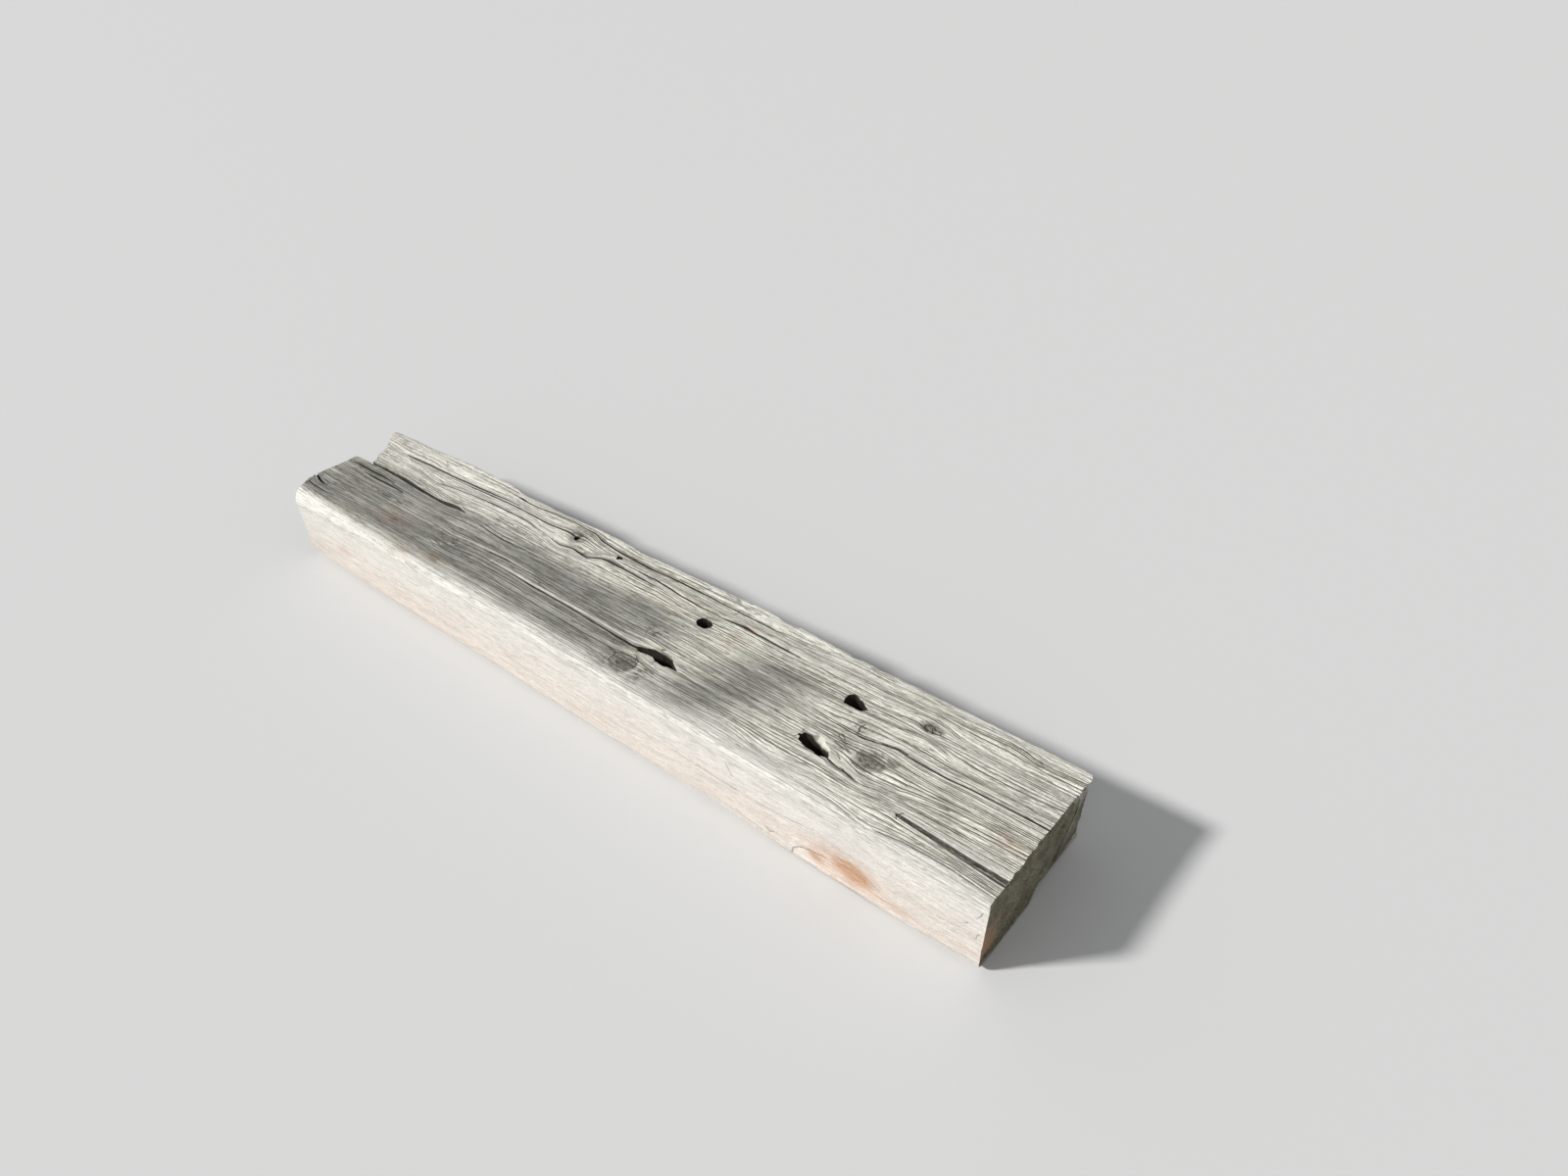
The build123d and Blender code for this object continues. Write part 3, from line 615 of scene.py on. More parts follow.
def brokenFace(y, z):
    # x of the broken end: straight from point to point of its outline, and the same all the way up
    across, inward = np.array(ends["brokenOutline"]).T
    return brokenEnd + np.interp(y - frontFace, across, inward)


def tornRims(grain, y, z, normalZ, valley):
    # x of the skin's last and first rows: the end's surface less a ragged loss, most of it on the top
    torn = 0.4 * noise("tornWide", grain, grain) + 0.35 * noise("tornFine", grain, grain) + 0.25 * valley[-1]
    torn = ends["ragged"] * torn * np.clip(normalZ[-1] * 0.8 + 0.25, 0.1, 1)
    calmFrom, calmTo = [backFace - distance for distance in ends["calmBack"]]
    torn = torn * (1 - 0.75 * softStep(y[-1], calmFrom, calmTo))
    broken = ends["brokenRagged"] * noise("brokenRim", grain, grain) * np.clip(normalZ[0] + 0.3, 0.2, 1)
    return soundFace(y[-1], z[-1]) - torn, brokenFace(y[0], z[0]) + broken


def capGrid(rimY, rimZ, face, sign):
    # Points of an end: a square grid blown up from the middle until its border meets the rim, with x from the
    # end's own surface, eaten by noise, rings and cracks. Each row holds x, y, z and how far it is eaten, as a
    # share of the depth where the painted shade in its hollows is full.
    columns, rows = ends["capSizes"][sign]
    centreY, centreZ = (rimY.max() + rimY.min()) / 2, timberHeight / 2
    angle = np.arctan2((rimZ - centreZ) / timberHeight, (rimY - centreY) / timberWidth)
    order = np.argsort(angle)
    p, q = np.meshgrid(np.linspace(-1, 1, columns), np.linspace(-1, 1, rows))
    radius = np.maximum(np.abs(p), np.abs(q))
    turn = np.arctan2(q, p)
    edgeY = np.interp(turn, angle[order], rimY[order], period=2 * math.pi)
    edgeZ = np.interp(turn, angle[order], rimZ[order], period=2 * math.pi)
    shrink = 1 - ends["capInset"] / (timberHeight / 2)
    y = centreY + radius * (edgeY - centreY) * shrink
    z = centreZ + radius * (edgeZ - centreZ) * shrink
    rough, fibre = noise("endRough", y, z, sign), noise("endFibre", y, z, sign)
    fromPithY, fromPithZ = y - ends["pith"][0], z - ends["pith"][1]
    ring = np.hypot(fromPithY, fromPithZ)
    rings = 0.5 + 0.5 * np.cos(ring * 2 * math.pi / ends["ringPitch"] + 2.5 * noise("ringBend", y, z))
    spokes = np.cos(ends["shakes"] * np.arctan2(fromPithZ, fromPithY) + 3 * noise("shakeBend", y, z))
    shake = np.clip(spokes, 0, 1) ** ends["shakeSharpness"]
    eaten = ends["faceRelief"] * (ends["rough"] * rough + ends["fibre"] * fibre + ends["ring"] * rings)
    eaten = eaten + ends["shakeDepth"] * shake * softStep(ring, *ends["shakeStart"])
    x = face(y, z) - sign * eaten
    return np.stack([x.ravel(), y.ravel(), z.ravel(), (eaten / ends["darkAt"]).ravel()], -1)


def redShare(points):
    # the sound end's lower front corner: a bell across and up, broken up by noise
    a, b, reachAcross, reachUp = ends["redCorner"]
    across, height = points[:, 1] - frontFace, points[:, 2]
    red = bell((across - a) / reachAcross, (height - b) / reachUp) * (points[:, 0] > 0)
    return np.clip(red * (0.5 + noise("redCorner", across, height)), 0, 1)


# Patches of colour: distances are from the sound end, across from the front face, and up from the underside
patches = {
    "band": {  # a painted plant shadow with some soiling: its middle along, how much it slants either side of one place across, and its fades
        "middle": 470, "slant": 0.75, "straightAt": 120, "reach": 62, "front": (0, 60), "back": (150, 205)},
    "farGrey": {"along": (600, 760), "front": (12, 46), "back": (130, 172)},
    "greySpot": (690, 150, 70, 28),  # along, across, reach along and across
    "greyStrengths": {"band": 0.98, "farGrey": 0.88, "greySpot": 0.52, "streaks": 0.25},
    "farPale": {"along": (860, 1060), "across": (158, 182), "strength": 0.7},
    # the front face is pale, partly its own pale wood and partly painted sunlight
    "frontPale": 1.1, "streakPale": 0.45,
    "stains": [  # on the front face: along, up, reach along and up, strength
        (202, 40, 28, 21, 0.95), (225, 42, 55, 34, 0.55), (268, 30, 15, 10, 0.75), (130, 26, 30, 9, 0.5),
        (1375, 66, 26, 12, 0.5)],
    "stainMost": 0.92,
}

# Pale torn or raised wood, the raised edges with a painted highlight: distance from the sound end, distance
# from the front and width of each point
paleRidges = [
    [(640, 90, 2), (656, 86.5, 4), (680, 81.5, 5), (704, 82, 6), (757, 83.5, 6), (837, 84, 6), (907, 83.5, 6),
     (967, 85, 5), (1027, 84, 3)],
    [(938, 104, 3), (1010, 104.5, 5), (1065, 101.5, 5), (1110, 99, 4), (1135, 97, 2)],
    [(468, 207, 3), (500, 207.5, 6), (540, 208, 6), (556, 208, 3)],
    [(4, 48, 12), (60, 49, 13), (110, 50, 11), (160, 52, 8)],
    [(303, 82, 5), (296, 75, 7), (281, 71, 6), (262, 68, 5), (240, 64, 3)],
    [(262, 134, 2), (247, 138, 5), (226, 142, 6), (202, 141.5, 5), (181, 139.5, 4), (155, 139, 3),
     (120, 138, 2)],
    [(591, 82.5, 4), (582, 78, 6), (573, 75, 4)],
    [(344, 92, 6), (325, 94, 11), (304, 93, 7)],
    [(642, 95, 3), (625, 96, 7), (608, 98, 9), (597, 97, 4)],
    [(654, 69, 3), (637, 70, 9), (620, 69, 10), (604, 68, 6), (594, 68, 2)],
    [(1168, 57, 4), (1140, 64, 6), (1118, 80, 6), (1106, 93, 3)],
    [(1120, 162, 3), (1160, 163, 7), (1200, 159, 8), (1215, 152, 4)],
]

# Pale strip of the top along the front edge, bleached wood with a painted highlight along that edge: distance
# from the sound end, width
paleStrip = [(0, 26), (200, 28), (330, 50), (450, 66), (600, 60), (800, 44), (1150, 30), (1530, 24)]

# Warmer wood in the top: distance from the sound end, distance from the front, reach along and across,
# strength
warmSpots = [
    (552, 172, 18, 18, 0.3), (700, 174, 60, 12, 0.28), (650, 202, 60, 7, 0.25), (32, 92, 26, 12, 0.35),
    (1275, 62, 40, 20, 0.7), (1105, 118, 25, 9, 0.5), (1112, 32, 20, 12, 0.5), (1180, 12, 24, 5, 0.4),
    (632, 93, 7, 4, 0.6), (548, 206, 12, 3, 0.7),
]

# Rough torn wood beside knots: distance from the sound end, distance from the front, reach along and across
burls = [
    (292, 101, 20, 12), (702, 70, 26, 7), (290, 143, 20, 14), (668, 120, 32, 17), (620, 34, 14, 16),
    (690, 32, 16, 22), (950, 222, 24, 16), (1128, 80, 40, 18),
]


def greyMask(distance, across, top, blotch, streak):
    # a slanting band in the middle that is a painted plant shadow with some soiling, the far part and one spot,
    # each a soft bell or steps, broken up by noise
    band, far, strengths = patches["band"], patches["farGrey"], patches["greyStrengths"]
    a, b, reachAlong, reachAcross = patches["greySpot"]
    centreLine = band["middle"] + band["slant"] * (band["straightAt"] - across)
    bandShare = bell((distance - centreLine) / band["reach"]) * (0.4 + 0.6 * softStep(across, *band["front"]))
    bandShare = bandShare * (1 - softStep(across, *band["back"]))
    farShare = softStep(distance, *far["along"]) * softStep(across, *far["front"])
    farShare = farShare * (1 - softStep(across, *far["back"]))
    spot = bell((distance - a) / reachAlong, (across - b) / reachAcross)
    grey = strengths["band"] * bandShare + strengths["farGrey"] * farShare + strengths["greySpot"] * spot
    grey = grey * (0.2 + 0.8 * blotch + 0.9 * streak)
    return top * np.clip(grey + strengths["streaks"] * (streak - 0.45), 0, 1)


def toneMasks(x, y, z, normalY, normalZ):
    # large patches of grey, paleness and stain, each a sum of soft bells broken up by noise; the grey holds a
    # painted plant shadow, and the paleness holds painted sunlight and painted highlight
    distance, across = soundEnd - x, y - frontFace
    top, front = np.clip(normalZ, 0, 1), np.clip(-normalY, 0, 1)
    blotch, streak, fleck = noise("blotch", x, y + z), noise("streak", x, y + z), noise("fleck", x, z)
    grey = greyMask(distance, across, top, blotch, streak)
    reach = np.interp(distance, *np.array(paleStrip).T)
    strip = (1 - softStep(across, 0.25 * reach, reach)) * (0.5 + 0.9 * streak)
    # pale front face with painted sunlight, and the pale strip along the top's front edge with a painted
    # highlight
    pale = np.clip(front * patches["frontPale"] + top * strip, 0, 1)
    pale = np.maximum(pale, patches["streakPale"] * top * softStep(streak, 0.55, 0.75))
    far = patches["farPale"]
    farShare = softStep(distance, *far["along"]) * softStep(across, *far["across"])
    pale = np.maximum(pale, far["strength"] * top * farShare * (0.3 + 0.9 * streak))
    # pale torn wood, and painted highlight on raised edges, where the grey gives way
    for ridge in paleRidges:
        raised = routeDepth(x, y, placed(ridge, fromSound), 1.0)
        pale = np.maximum(pale, top * np.clip(2.0 * raised, 0, 1) * (0.8 + 0.4 * streak))
        grey = grey * (1 - 0.9 * top * raised)
    stain, warm, burl = np.zeros_like(x), np.zeros_like(x), np.zeros_like(x)
    for a, height, reachAlong, reachUp, strength in patches["stains"]:
        stain = stain + strength * bell((distance - a) / reachAlong, (z - height) / reachUp)
    stain = front * np.clip(stain * (0.3 + 0.5 * blotch + 0.9 * fleck) - 0.06, 0, patches["stainMost"])
    for a, b, reachAlong, reachAcross, strength in warmSpots:
        spot = bell((distance - a) / reachAlong, (across - b) / reachAcross)
        warm = np.maximum(warm, strength * top * spot * (0.4 + 1.1 * streak))
    for a, b, reachAlong, reachAcross in burls:
        burl = np.maximum(burl, bell((distance - a) / reachAlong, (across - b) / reachAcross))
    return {"grey": grey, "pale": pale, "stain": np.clip(stain + warm, 0, 1), "burl": top * burl}


def ringLoops(rows, columns):
    # quads between neighbouring rows, closed round the columns
    row, column = np.arange(rows - 1)[:, None] * columns, np.arange(columns)[None, :]
    a, b = row + column, row + (column + 1) % columns
    return np.stack([a, b, b + columns, a + columns], -1).reshape(-1, 4)


def patchQuads(rows, columns, first):
    # quads between neighbouring rows and columns, whose points begin at the given number
    a = first + np.arange(rows - 1)[:, None] * columns + np.arange(columns - 1)[None, :]
    return np.stack([a, a + 1, a + columns + 1, a + columns], -1).reshape(-1, 4)


def meshOf(name, points, quads, unit=millimetre):
    # a mesh of quads, with its points given in this unit
    mesh = bpy.data.meshes.new(name)
    mesh.vertices.add(len(points))
    mesh.vertices.foreach_set("co", (points * unit).astype(np.float32).ravel())
    mesh.loops.add(quads.size)
    mesh.loops.foreach_set("vertex_index", quads.astype(np.int32).ravel())
    mesh.polygons.add(len(quads))
    mesh.polygons.foreach_set("loop_start", np.arange(0, quads.size, 4, dtype=np.int32))
    mesh.update(calc_edges=True)
    mesh.validate()
    return mesh


def setCorners(mesh, masks):
    # Each mask is one number for each vertex, stored at the face corners so that a cut keeps it. The crack mask
    # of the skin, painted shade in the cracks, comes as a depth, which is divided by the depth that is fully
    # dark. A wall that drops steeply is painted dark right from its lip.
    skin = timberSkin
    corner = np.empty(len(mesh.loops), dtype=np.int32)
    mesh.loops.foreach_get("vertex_index", corner)
    starts = np.empty(len(mesh.polygons), dtype=np.int32)
    mesh.polygons.foreach_get("loop_start", starts)
    for name, values in masks.items():
        atCorner = values.astype(np.float32)[corner]
        if name == "crack" and values.max() > 1:
            counts = np.diff(np.append(starts, len(corner)))
            deepest, shallowest = np.maximum.reduceat(atCorner, starts), np.minimum.reduceat(atCorner, starts)
            wall = np.clip((deepest - shallowest) / skin["steepWall"] - 0.4, 0, 1)
            wall = wall * np.clip(deepest / skin["wallDepth"], 0.3, 1)
            atCorner = np.clip(np.maximum(atCorner / skin["crackDepth"], np.repeat(wall, counts)), 0, 1)
        layer = mesh.attributes.new(name, "FLOAT", "CORNER")
        layer.data.foreach_set("value", atCorner)


def closeEnds(mesh):
    # joins each cap to the skin with a ring of faces, and turns all faces outwards
    shell = bmesh.new()
    shell.from_mesh(mesh)
    for side in (1, -1):
        rims = [edge for edge in shell.edges if edge.is_boundary and side * edge.verts[0].co.x > 0]
        bmesh.ops.bridge_loops(shell, edges=rims)
    bmesh.ops.recalc_face_normals(shell, faces=shell.faces)
    shell.to_mesh(mesh)
    shell.free()


def makeTimber():
    # the skin is the section's grid eaten inwards along its normals, and a cap closes each end
    grain, _, _ = columnPlaces()
    xRows = rowPlaces(timberSkin["rows"])
    y, z, normalY, normalZ, checks, darkness = sectionGrid(xRows)
    x = xRows[:, None] + 0 * y
    z = z + decayRise(x, y) * (1 - z / timberHeight)
    depth, valley, crack = reliefGrid(xRows[:, None], y, z, normalY, normalZ, grain, checks, darkness)
    y = y - normalY * depth
    z = z - normalZ * depth
    lastX, firstX = tornRims(grain, y, z, normalZ, valley)
    nearEnd = softStep(x, soundEnd - ends["moved"], soundEnd)
    farEnd = 1 - softStep(x, brokenEnd, brokenEnd + ends["moved"])
    x = x + nearEnd * (lastX - soundEnd)[None, :] + farEnd * (firstX - brokenEnd)[None, :]

    rows, columns = y.shape
    points, quads = [np.stack([x.ravel(), y.ravel(), z.ravel()], -1)], [ringLoops(rows, columns)]
    capEaten, first = [], rows * columns
    for row, face, sign in ((-1, soundFace, 1), (0, brokenFace, -1)):
        cap = capGrid(y[row], z[row], face, sign)
        capColumns, capRows = ends["capSizes"][sign]
        points.append(cap[:, :3])
        quads.append(patchQuads(capRows, capColumns, first))
        capEaten.append(cap[:, 3])
        first += len(cap)
    points = np.concatenate(points)
    capPoints = points[rows * columns:]
    mesh = meshOf("timber", points, np.concatenate(quads))

    def masked(onSkin, onCaps=0.0):
        return np.concatenate([(onSkin + 0 * y).ravel(), onCaps + np.zeros(len(capPoints))])

    masks = {name: masked(values) for name, values in toneMasks(x, y, z, normalY, normalZ).items()}
    # crack holds painted shade in checks and cracks, and valley painted shade in the grain's grooves and the
    # ends' hollows
    masks.update({
        "valley": masked(valley, np.concatenate(capEaten)), "crack": masked(crack),
        "endGrain": masked(0.0, 1.0), "endRed": masked(0.0, redShare(capPoints)),
        "grainLine": masked(millimetre * grain[None, :]), "upward": masked(np.clip(normalZ, 0, 1)),
        "boreWall": masked(0.0),
    })
    closeEnds(mesh)
    setCorners(mesh, masks)
    timber = bpy.data.objects.new("timber", mesh)
    bpy.context.collection.objects.link(timber)
    return timber


# Screw holes: their bore, and mouths that rot has widened, as offsets from the bore towards the sound end and
# the back. Holes are named by their side along the timber and across it.
screwHoles = {
    "fromEnd": 470, "fromFront": 127, "spacingAlong": 290, "spacingAcross": 96,
    "radius": 10, "mouthDepth": 30,
    "rounds": 66, "levels": 20, "boreLevels": 5, "boreGap": 6,  # the bore's levels begin under the mouth's
    "standOut": 6,  # the cutter stands out above and below
    "cornerRoom": 0.03,  # radians that evenly spaced points keep from the outline's corners
    "wallShape": 1.7, "torn": 2.2, "tearTurn": 12, "leastReach": 0.98, "slopeDepth": 8.0,
    "slopeReach": {(1, -1): 10.0, (1, 1): 2.0, (-1, -1): 2.2, (-1, 1): 1.0},
    "lightFrom": (0.45, 0.8), "litReach": 8,  # a wall that slopes this far is fully lit
    "shadowStart": (-1, 7), "shadowEnd": (2.5, 19),  # depths, and how much deeper they are where it is lit
    "mouths": {
        (1, -1): [
            (31, -9.5), (29, -4), (20, 6), (-12, 9.5), (-23, 9.5), (-25.5, 4.5), (-31, 2), (-26, -1),
            (-24, -6), (-8, -11.5), (8, -13), (18, -14)],
        (1, 1): [
            (21, -1), (15, 1), (5, 6), (-7, 10.5), (-13, 11), (-20, 6), (-20.5, -4), (-17, -11), (-2, -11.5),
            (13, -11)],
        (-1, -1): [
            (40, -7), (18.5, 6), (12.5, 11.5), (-0.5, 10.5), (-9.5, 9), (-21.5, 9), (-53.5, -2), (-42, -9),
            (-28, -7), (-14, -5.5), (-5.5, -10), (9.5, -11), (18.5, -9)],
        (-1, 1): [
            (10, -4), (11, 2), (8, 7), (0, 9.5), (-9, 9.5), (-15, 7), (-18.5, 1), (-17, -5), (-10, -9.5),
            (4, -9.5)],
    },
}

# Pits where small knots have dropped out: distance from the sound end, distance from the front, depth, mouth
pits = [
    (953.5, 212, 18, [(-6, 4.5), (0, 6), (6.5, 3.5), (6, -2), (4, -6), (-2, -4), (-5, -1)]),
    (848.5, 214.5, 14, [(-7, 4), (-1, 4.5), (4, 3.5), (8, -0.5), (2, -3), (-2.5, -6), (-6, -1)]),
]
pitFloor = 1.5  # radius of a pit's floor


def polygonReach(outline, angle):
    # distance from the origin to a closed polygon at each angle: the ray t * u meets a side a + s * (b - a)
    start, side = outline, np.roll(outline, -1, axis=0) - outline
    ux, uy = np.cos(angle)[:, None], np.sin(angle)[:, None]
    with np.errstate(divide="ignore", invalid="ignore"):  # a ray along a side meets it nowhere
        bottom = ux * side[None, :, 1] - uy * side[None, :, 0]
        t = (start[None, :, 0] * side[None, :, 1] - start[None, :, 1] * side[None, :, 0]) / bottom
        s = (start[None, :, 0] * uy - start[None, :, 1] * ux) / bottom
    hit = np.where((s > -1e-6) & (s < 1 + 1e-6) & (t > 0), t, 0)
    return hit.max(axis=1)


def hollowCutter(x, y, mouth, floorRadius, mouthDepth, slopeReach, through):
    # A tube whose reach at angle a and depth share s is mouth(a) * (1 - s^k) + floor * s^k, torn by noise
    # near the mouth, and further back by slopeReach * sin(a)^2, which fades out by slopeDepth. Where asked it
    # goes on down through the timber as a round bore. Its walls get painted shade downwards, starting deeper
    # where they face the light.
    plan = screwHoles
    outline = np.array(mouth, dtype=float)
    corner = np.arctan2(outline[:, 1], outline[:, 0])
    even = np.linspace(-math.pi, math.pi, plan["rounds"], endpoint=False)
    even = even[np.abs(even[:, None] - corner[None, :]).min(axis=1) > plan["cornerRoom"]]
    angle = np.sort(np.concatenate([even, corner]))
    standOut = plan["standOut"]
    height = [[timberHeight + standOut], timberHeight - np.linspace(0, mouthDepth, plan["levels"])]
    if through:
        height.append(np.linspace(timberHeight - mouthDepth - plan["boreGap"], -standOut, plan["boreLevels"]))
    height = np.concatenate(height)
    share = np.clip((timberHeight - height) / mouthDepth, 0, 1)[:, None] ** plan["wallShape"]
    reach = polygonReach(outline, angle)[None, :] * (1 - share) + floorRadius * share
    tear = noise("holeTear", angle[None, :] * plan["tearTurn"], height[:, None], len(outline)) - 0.5
    rise = 1 - softStep(timberHeight - height, -2, plan["slopeDepth"])[:, None]
    reach = reach + slopeReach * np.clip(np.sin(angle), 0, 1)[None, :] ** 2 * rise
    reach = np.maximum(reach + plan["torn"] * tear * (1 - share), floorRadius * plan["leastReach"])
    points = np.stack([(x + reach * np.cos(angle)).ravel(), (y + reach * np.sin(angle)).ravel(),
                       (height[:, None] + 0 * reach).ravel()], -1)
    lightX, lightY = plan["lightFrom"]
    lit = np.clip(lightY * np.sin(angle) + lightX * np.cos(angle), 0, 1)[None, :]
    lit = lit * min(1, (slopeReach / plan["litReach"]) ** 0.7)
    (start, startLit), (full, fullLit) = plan["shadowStart"], plan["shadowEnd"]
    shadow = softStep(timberHeight - height[:, None], start + startLit * lit, full + fullLit * lit)
    return points, len(height), shadow.ravel()


# Broken strand: outline from above as distances from the broken end and the front, and depth, as in the
# part's source, then how far its wall is splintered and leans at its foot
brokenStrand = {
    "outline": [(59, 149), (57, 160), (44, 175), (41, 191), (23, 213), (11, 227), (-4, 242)],
    "depth": 80, "footHeight": 30, "footReach": 14, "splinter": 3.5,
    "splinterFade": (0, 8), "footFade": (10, 40),  # distances along the wall over which these begin
    "standOut": (12, 6), "columns": 90, "levels": 14, "shadow": (2, 16),  # depths between which its wall gets painted shade
}


def strandCutter():
    # upright wall along the outline, with splinters: each point stands out by noise that is long up and down
    plan = brokenStrand
    beyond, above = plan["standOut"]
    outline = np.array([(fromBroken(a), fromFront(b)) for a, b in plan["outline"]])
    step = np.concatenate([[0], np.cumsum(np.hypot(*np.diff(outline, axis=0).T))])
    fine = np.linspace(0, step[-1], plan["columns"])
    wallX, wallY = np.interp(fine, step, outline[:, 0]), np.interp(fine, step, outline[:, 1])
    z = timberHeight + above - np.linspace(0, plan["depth"] + above, plan["levels"])
    splinter = noise("splinter", fine[None, :], z[:, None]) - 0.5
    bottom = timberHeight - plan["depth"]
    foot = 1 - softStep(z[:, None], bottom - 1, bottom + plan["footHeight"])
    x = (wallX[None, :] + plan["splinter"] * splinter * softStep(fine, *plan["splinterFade"])[None, :]
         - plan["footReach"] * foot * softStep(fine, *plan["footFade"])[None, :])
    y = wallY[None, :] + 0 * z[:, None]
    x = np.concatenate([x, np.full((len(z), 2), brokenEnd - beyond)], axis=1)
    y = np.concatenate([y, np.tile([[wallY[-1], wallY[0]]], (len(z), 1))], axis=1)
    points = np.stack([x.ravel(), y.ravel(), (z[:, None] + 0 * x).ravel()], -1)
    return points, len(z), softStep(timberHeight - points[:, 2], *plan["shadow"])


def cutWith(timber, name, points, levels, shadow, masks):
    # closes the tube's two mouths with one face each, turns its faces outwards and takes it out of the timber
    rounds = len(points) // levels
    mesh = meshOf(name, points, ringLoops(levels, rounds))
    # crack and boreWall follow the painted shade of the walls
    setCorners(mesh, {key: value * (shadow if key in ("boreWall", "crack") else 1 + 0 * shadow)
                      for key, value in masks.items()})
    shell = bmesh.new()
    shell.from_mesh(mesh)
    shell.verts.ensure_lookup_table()
    shell.faces.new([shell.verts[i] for i in range(rounds)])
    shell.faces.new([shell.verts[i] for i in range((levels - 1) * rounds, levels * rounds)])
    bmesh.ops.recalc_face_normals(shell, faces=shell.faces)
    for layer in shell.loops.layers.float.values():
        for face in shell.faces[-2:]:
            for corner in face.loops:
                corner[layer] = masks[layer.name]
    shell.to_mesh(mesh)
    shell.free()
    cutter = bpy.data.objects.new(name, mesh)
    bpy.context.collection.objects.link(cutter)
    cut = timber.modifiers.new(name, "BOOLEAN")
    cut.operation, cut.solver, cut.object = "DIFFERENCE", "MANIFOLD", cutter
    return cutter


print("stage: skin of the timber")
timber = makeTimber()
print("stage: holes and broken strand")
hollowMasks = {  # on the walls of the holes and pits, where crack and boreWall carry painted shade
    "valley": 0.1, "crack": 0.9, "grey": 0.0, "pale": 0.0, "stain": 0.0, "burl": 0.0, "endGrain": 0.0,
    "endRed": 0.0, "grainLine": 0.2, "upward": 0.0, "boreWall": 1.0}
brokenMasks = {**hollowMasks, "crack": 0.2, "grey": 0.2, "boreWall": 0.0, "endGrain": 0.35}
cutters = []
for number, ((sideAlong, sideAcross), mouth) in enumerate(screwHoles["mouths"].items()):
    boreX = fromSound(screwHoles["fromEnd"]) + sideAlong * screwHoles["spacingAlong"] / 2
    boreY = fromFront(screwHoles["fromFront"]) + sideAcross * screwHoles["spacingAcross"] / 2
    slopeReach = screwHoles["slopeReach"][sideAlong, sideAcross]
    radius, mouthDepth = screwHoles["radius"], screwHoles["mouthDepth"]
    hollow = hollowCutter(boreX, boreY, mouth, radius, mouthDepth, slopeReach, True)
    cutters.append(cutWith(timber, f"screwHole{number}", *hollow, hollowMasks))
for number, (a, b, deep, mouth) in enumerate(pits):
    hollow = hollowCutter(fromSound(a), fromFront(b), mouth, pitFloor, deep, 0.0, False)
    cutters.append(cutWith(timber, f"pit{number}", *hollow, hollowMasks))
cutters.append(cutWith(timber, "brokenStrand", *strandCutter(), brokenMasks))
depsgraph = bpy.context.evaluated_depsgraph_get()
cutMesh = bpy.data.meshes.new_from_object(timber.evaluated_get(depsgraph), depsgraph=depsgraph)
timber.modifiers.clear()
timber.data = cutMesh
for cutter in cutters:
    bpy.data.objects.remove(cutter)
cutMesh.polygons.foreach_set("use_smooth", np.ones(len(cutMesh.polygons), dtype=bool))
cutMesh.set_sharp_from_angle(angle=math.radians(timberSkin["sharpAngle"]))
print("stage: timber has", sum(len(face.vertices) - 2 for face in cutMesh.polygons), "triangles")


# Materials

def nodeTools(tree):
    # short ways to place a node, feed its sockets, join values, blend colours, spread a range and read a mask
    def feed(socket, value):
        if hasattr(value, "is_linked"):
            tree.links.new(value, socket)
        else:
            socket.default_value = value

    def make(kind, inputs=None, **settings):
        node = tree.nodes.new(kind)
        for name, value in settings.items():
            setattr(node, name, value)
        for socket, value in (inputs or {}).items():
            feed(node.inputs[socket], value)
        return node

    def maths(operation, *values):
        # more than two values are joined one after another
        joined = make("ShaderNodeMath", dict(enumerate(values[:2])), operation=operation).outputs[0]
        return maths(operation, joined, *values[2:]) if len(values) > 2 else joined

    def vectorMaths(operation, *values, socket=0):
        return make("ShaderNodeVectorMath", dict(enumerate(values)), operation=operation).outputs[socket]

    def blend(share, low, high, how="MIX"):
        return make("ShaderNodeMix", {0: share, 6: low, 7: high}, data_type="RGBA", blend_type=how).outputs[2]

    def ramp(value, low, high, start=0.0, end=1.0):
        sockets = {"Value": value, "From Min": low, "From Max": high, "To Min": start, "To Max": end}
        return make("ShaderNodeMapRange", sockets, interpolation_type="SMOOTHSTEP").outputs["Result"]

    def mask(name):
        return make("ShaderNodeAttribute", attribute_name=name).outputs["Fac"]

    return make, maths, vectorMaths, blend, ramp, mask


def newGroup(name, inputs, outputs):
    tree = bpy.data.node_groups.new(name, "ShaderNodeTree")
    for label, kind, value in inputs:
        tree.interface.new_socket(label, in_out="INPUT", socket_type=kind).default_value = value
    for label in outputs:
        tree.interface.new_socket(label, in_out="OUTPUT", socket_type="NodeSocketFloat")
    return tree, tree.nodes.new("NodeGroupInput").outputs, tree.nodes.new("NodeGroupOutput").inputs


def makeStreakGroup():
    # streaks along the grain: noise of (x * alongCount, grain line * acrossCount), ramped from low to high
    tree, given, result = newGroup("grainStreaks", [
        ("Place", "NodeSocketVector", (0, 0, 0)), ("Grain Line", "NodeSocketFloat", 0.0),
        ("Along Count", "NodeSocketFloat", 10.0), ("Across Count", "NodeSocketFloat", 400.0),
        ("Low", "NodeSocketFloat", 0.35), ("High", "NodeSocketFloat", 0.65)], ["Streak"])
    make, maths, vectorMaths, blend, ramp, mask = nodeTools(tree)
    x = make("ShaderNodeSeparateXYZ", {0: given["Place"]}).outputs["X"]
    vector = make("ShaderNodeCombineXYZ", {
        "X": maths("MULTIPLY", x, given["Along Count"]),
        "Y": maths("MULTIPLY", given["Grain Line"], given["Across Count"])}).outputs[0]
    streaks = make("ShaderNodeTexNoise", {"Vector": vector, "Scale": 1.0, "Detail": 3.0, "Roughness": 0.55})
    tree.links.new(ramp(streaks.outputs["Fac"], given["Low"], given["High"]), result["Streak"])
    return tree


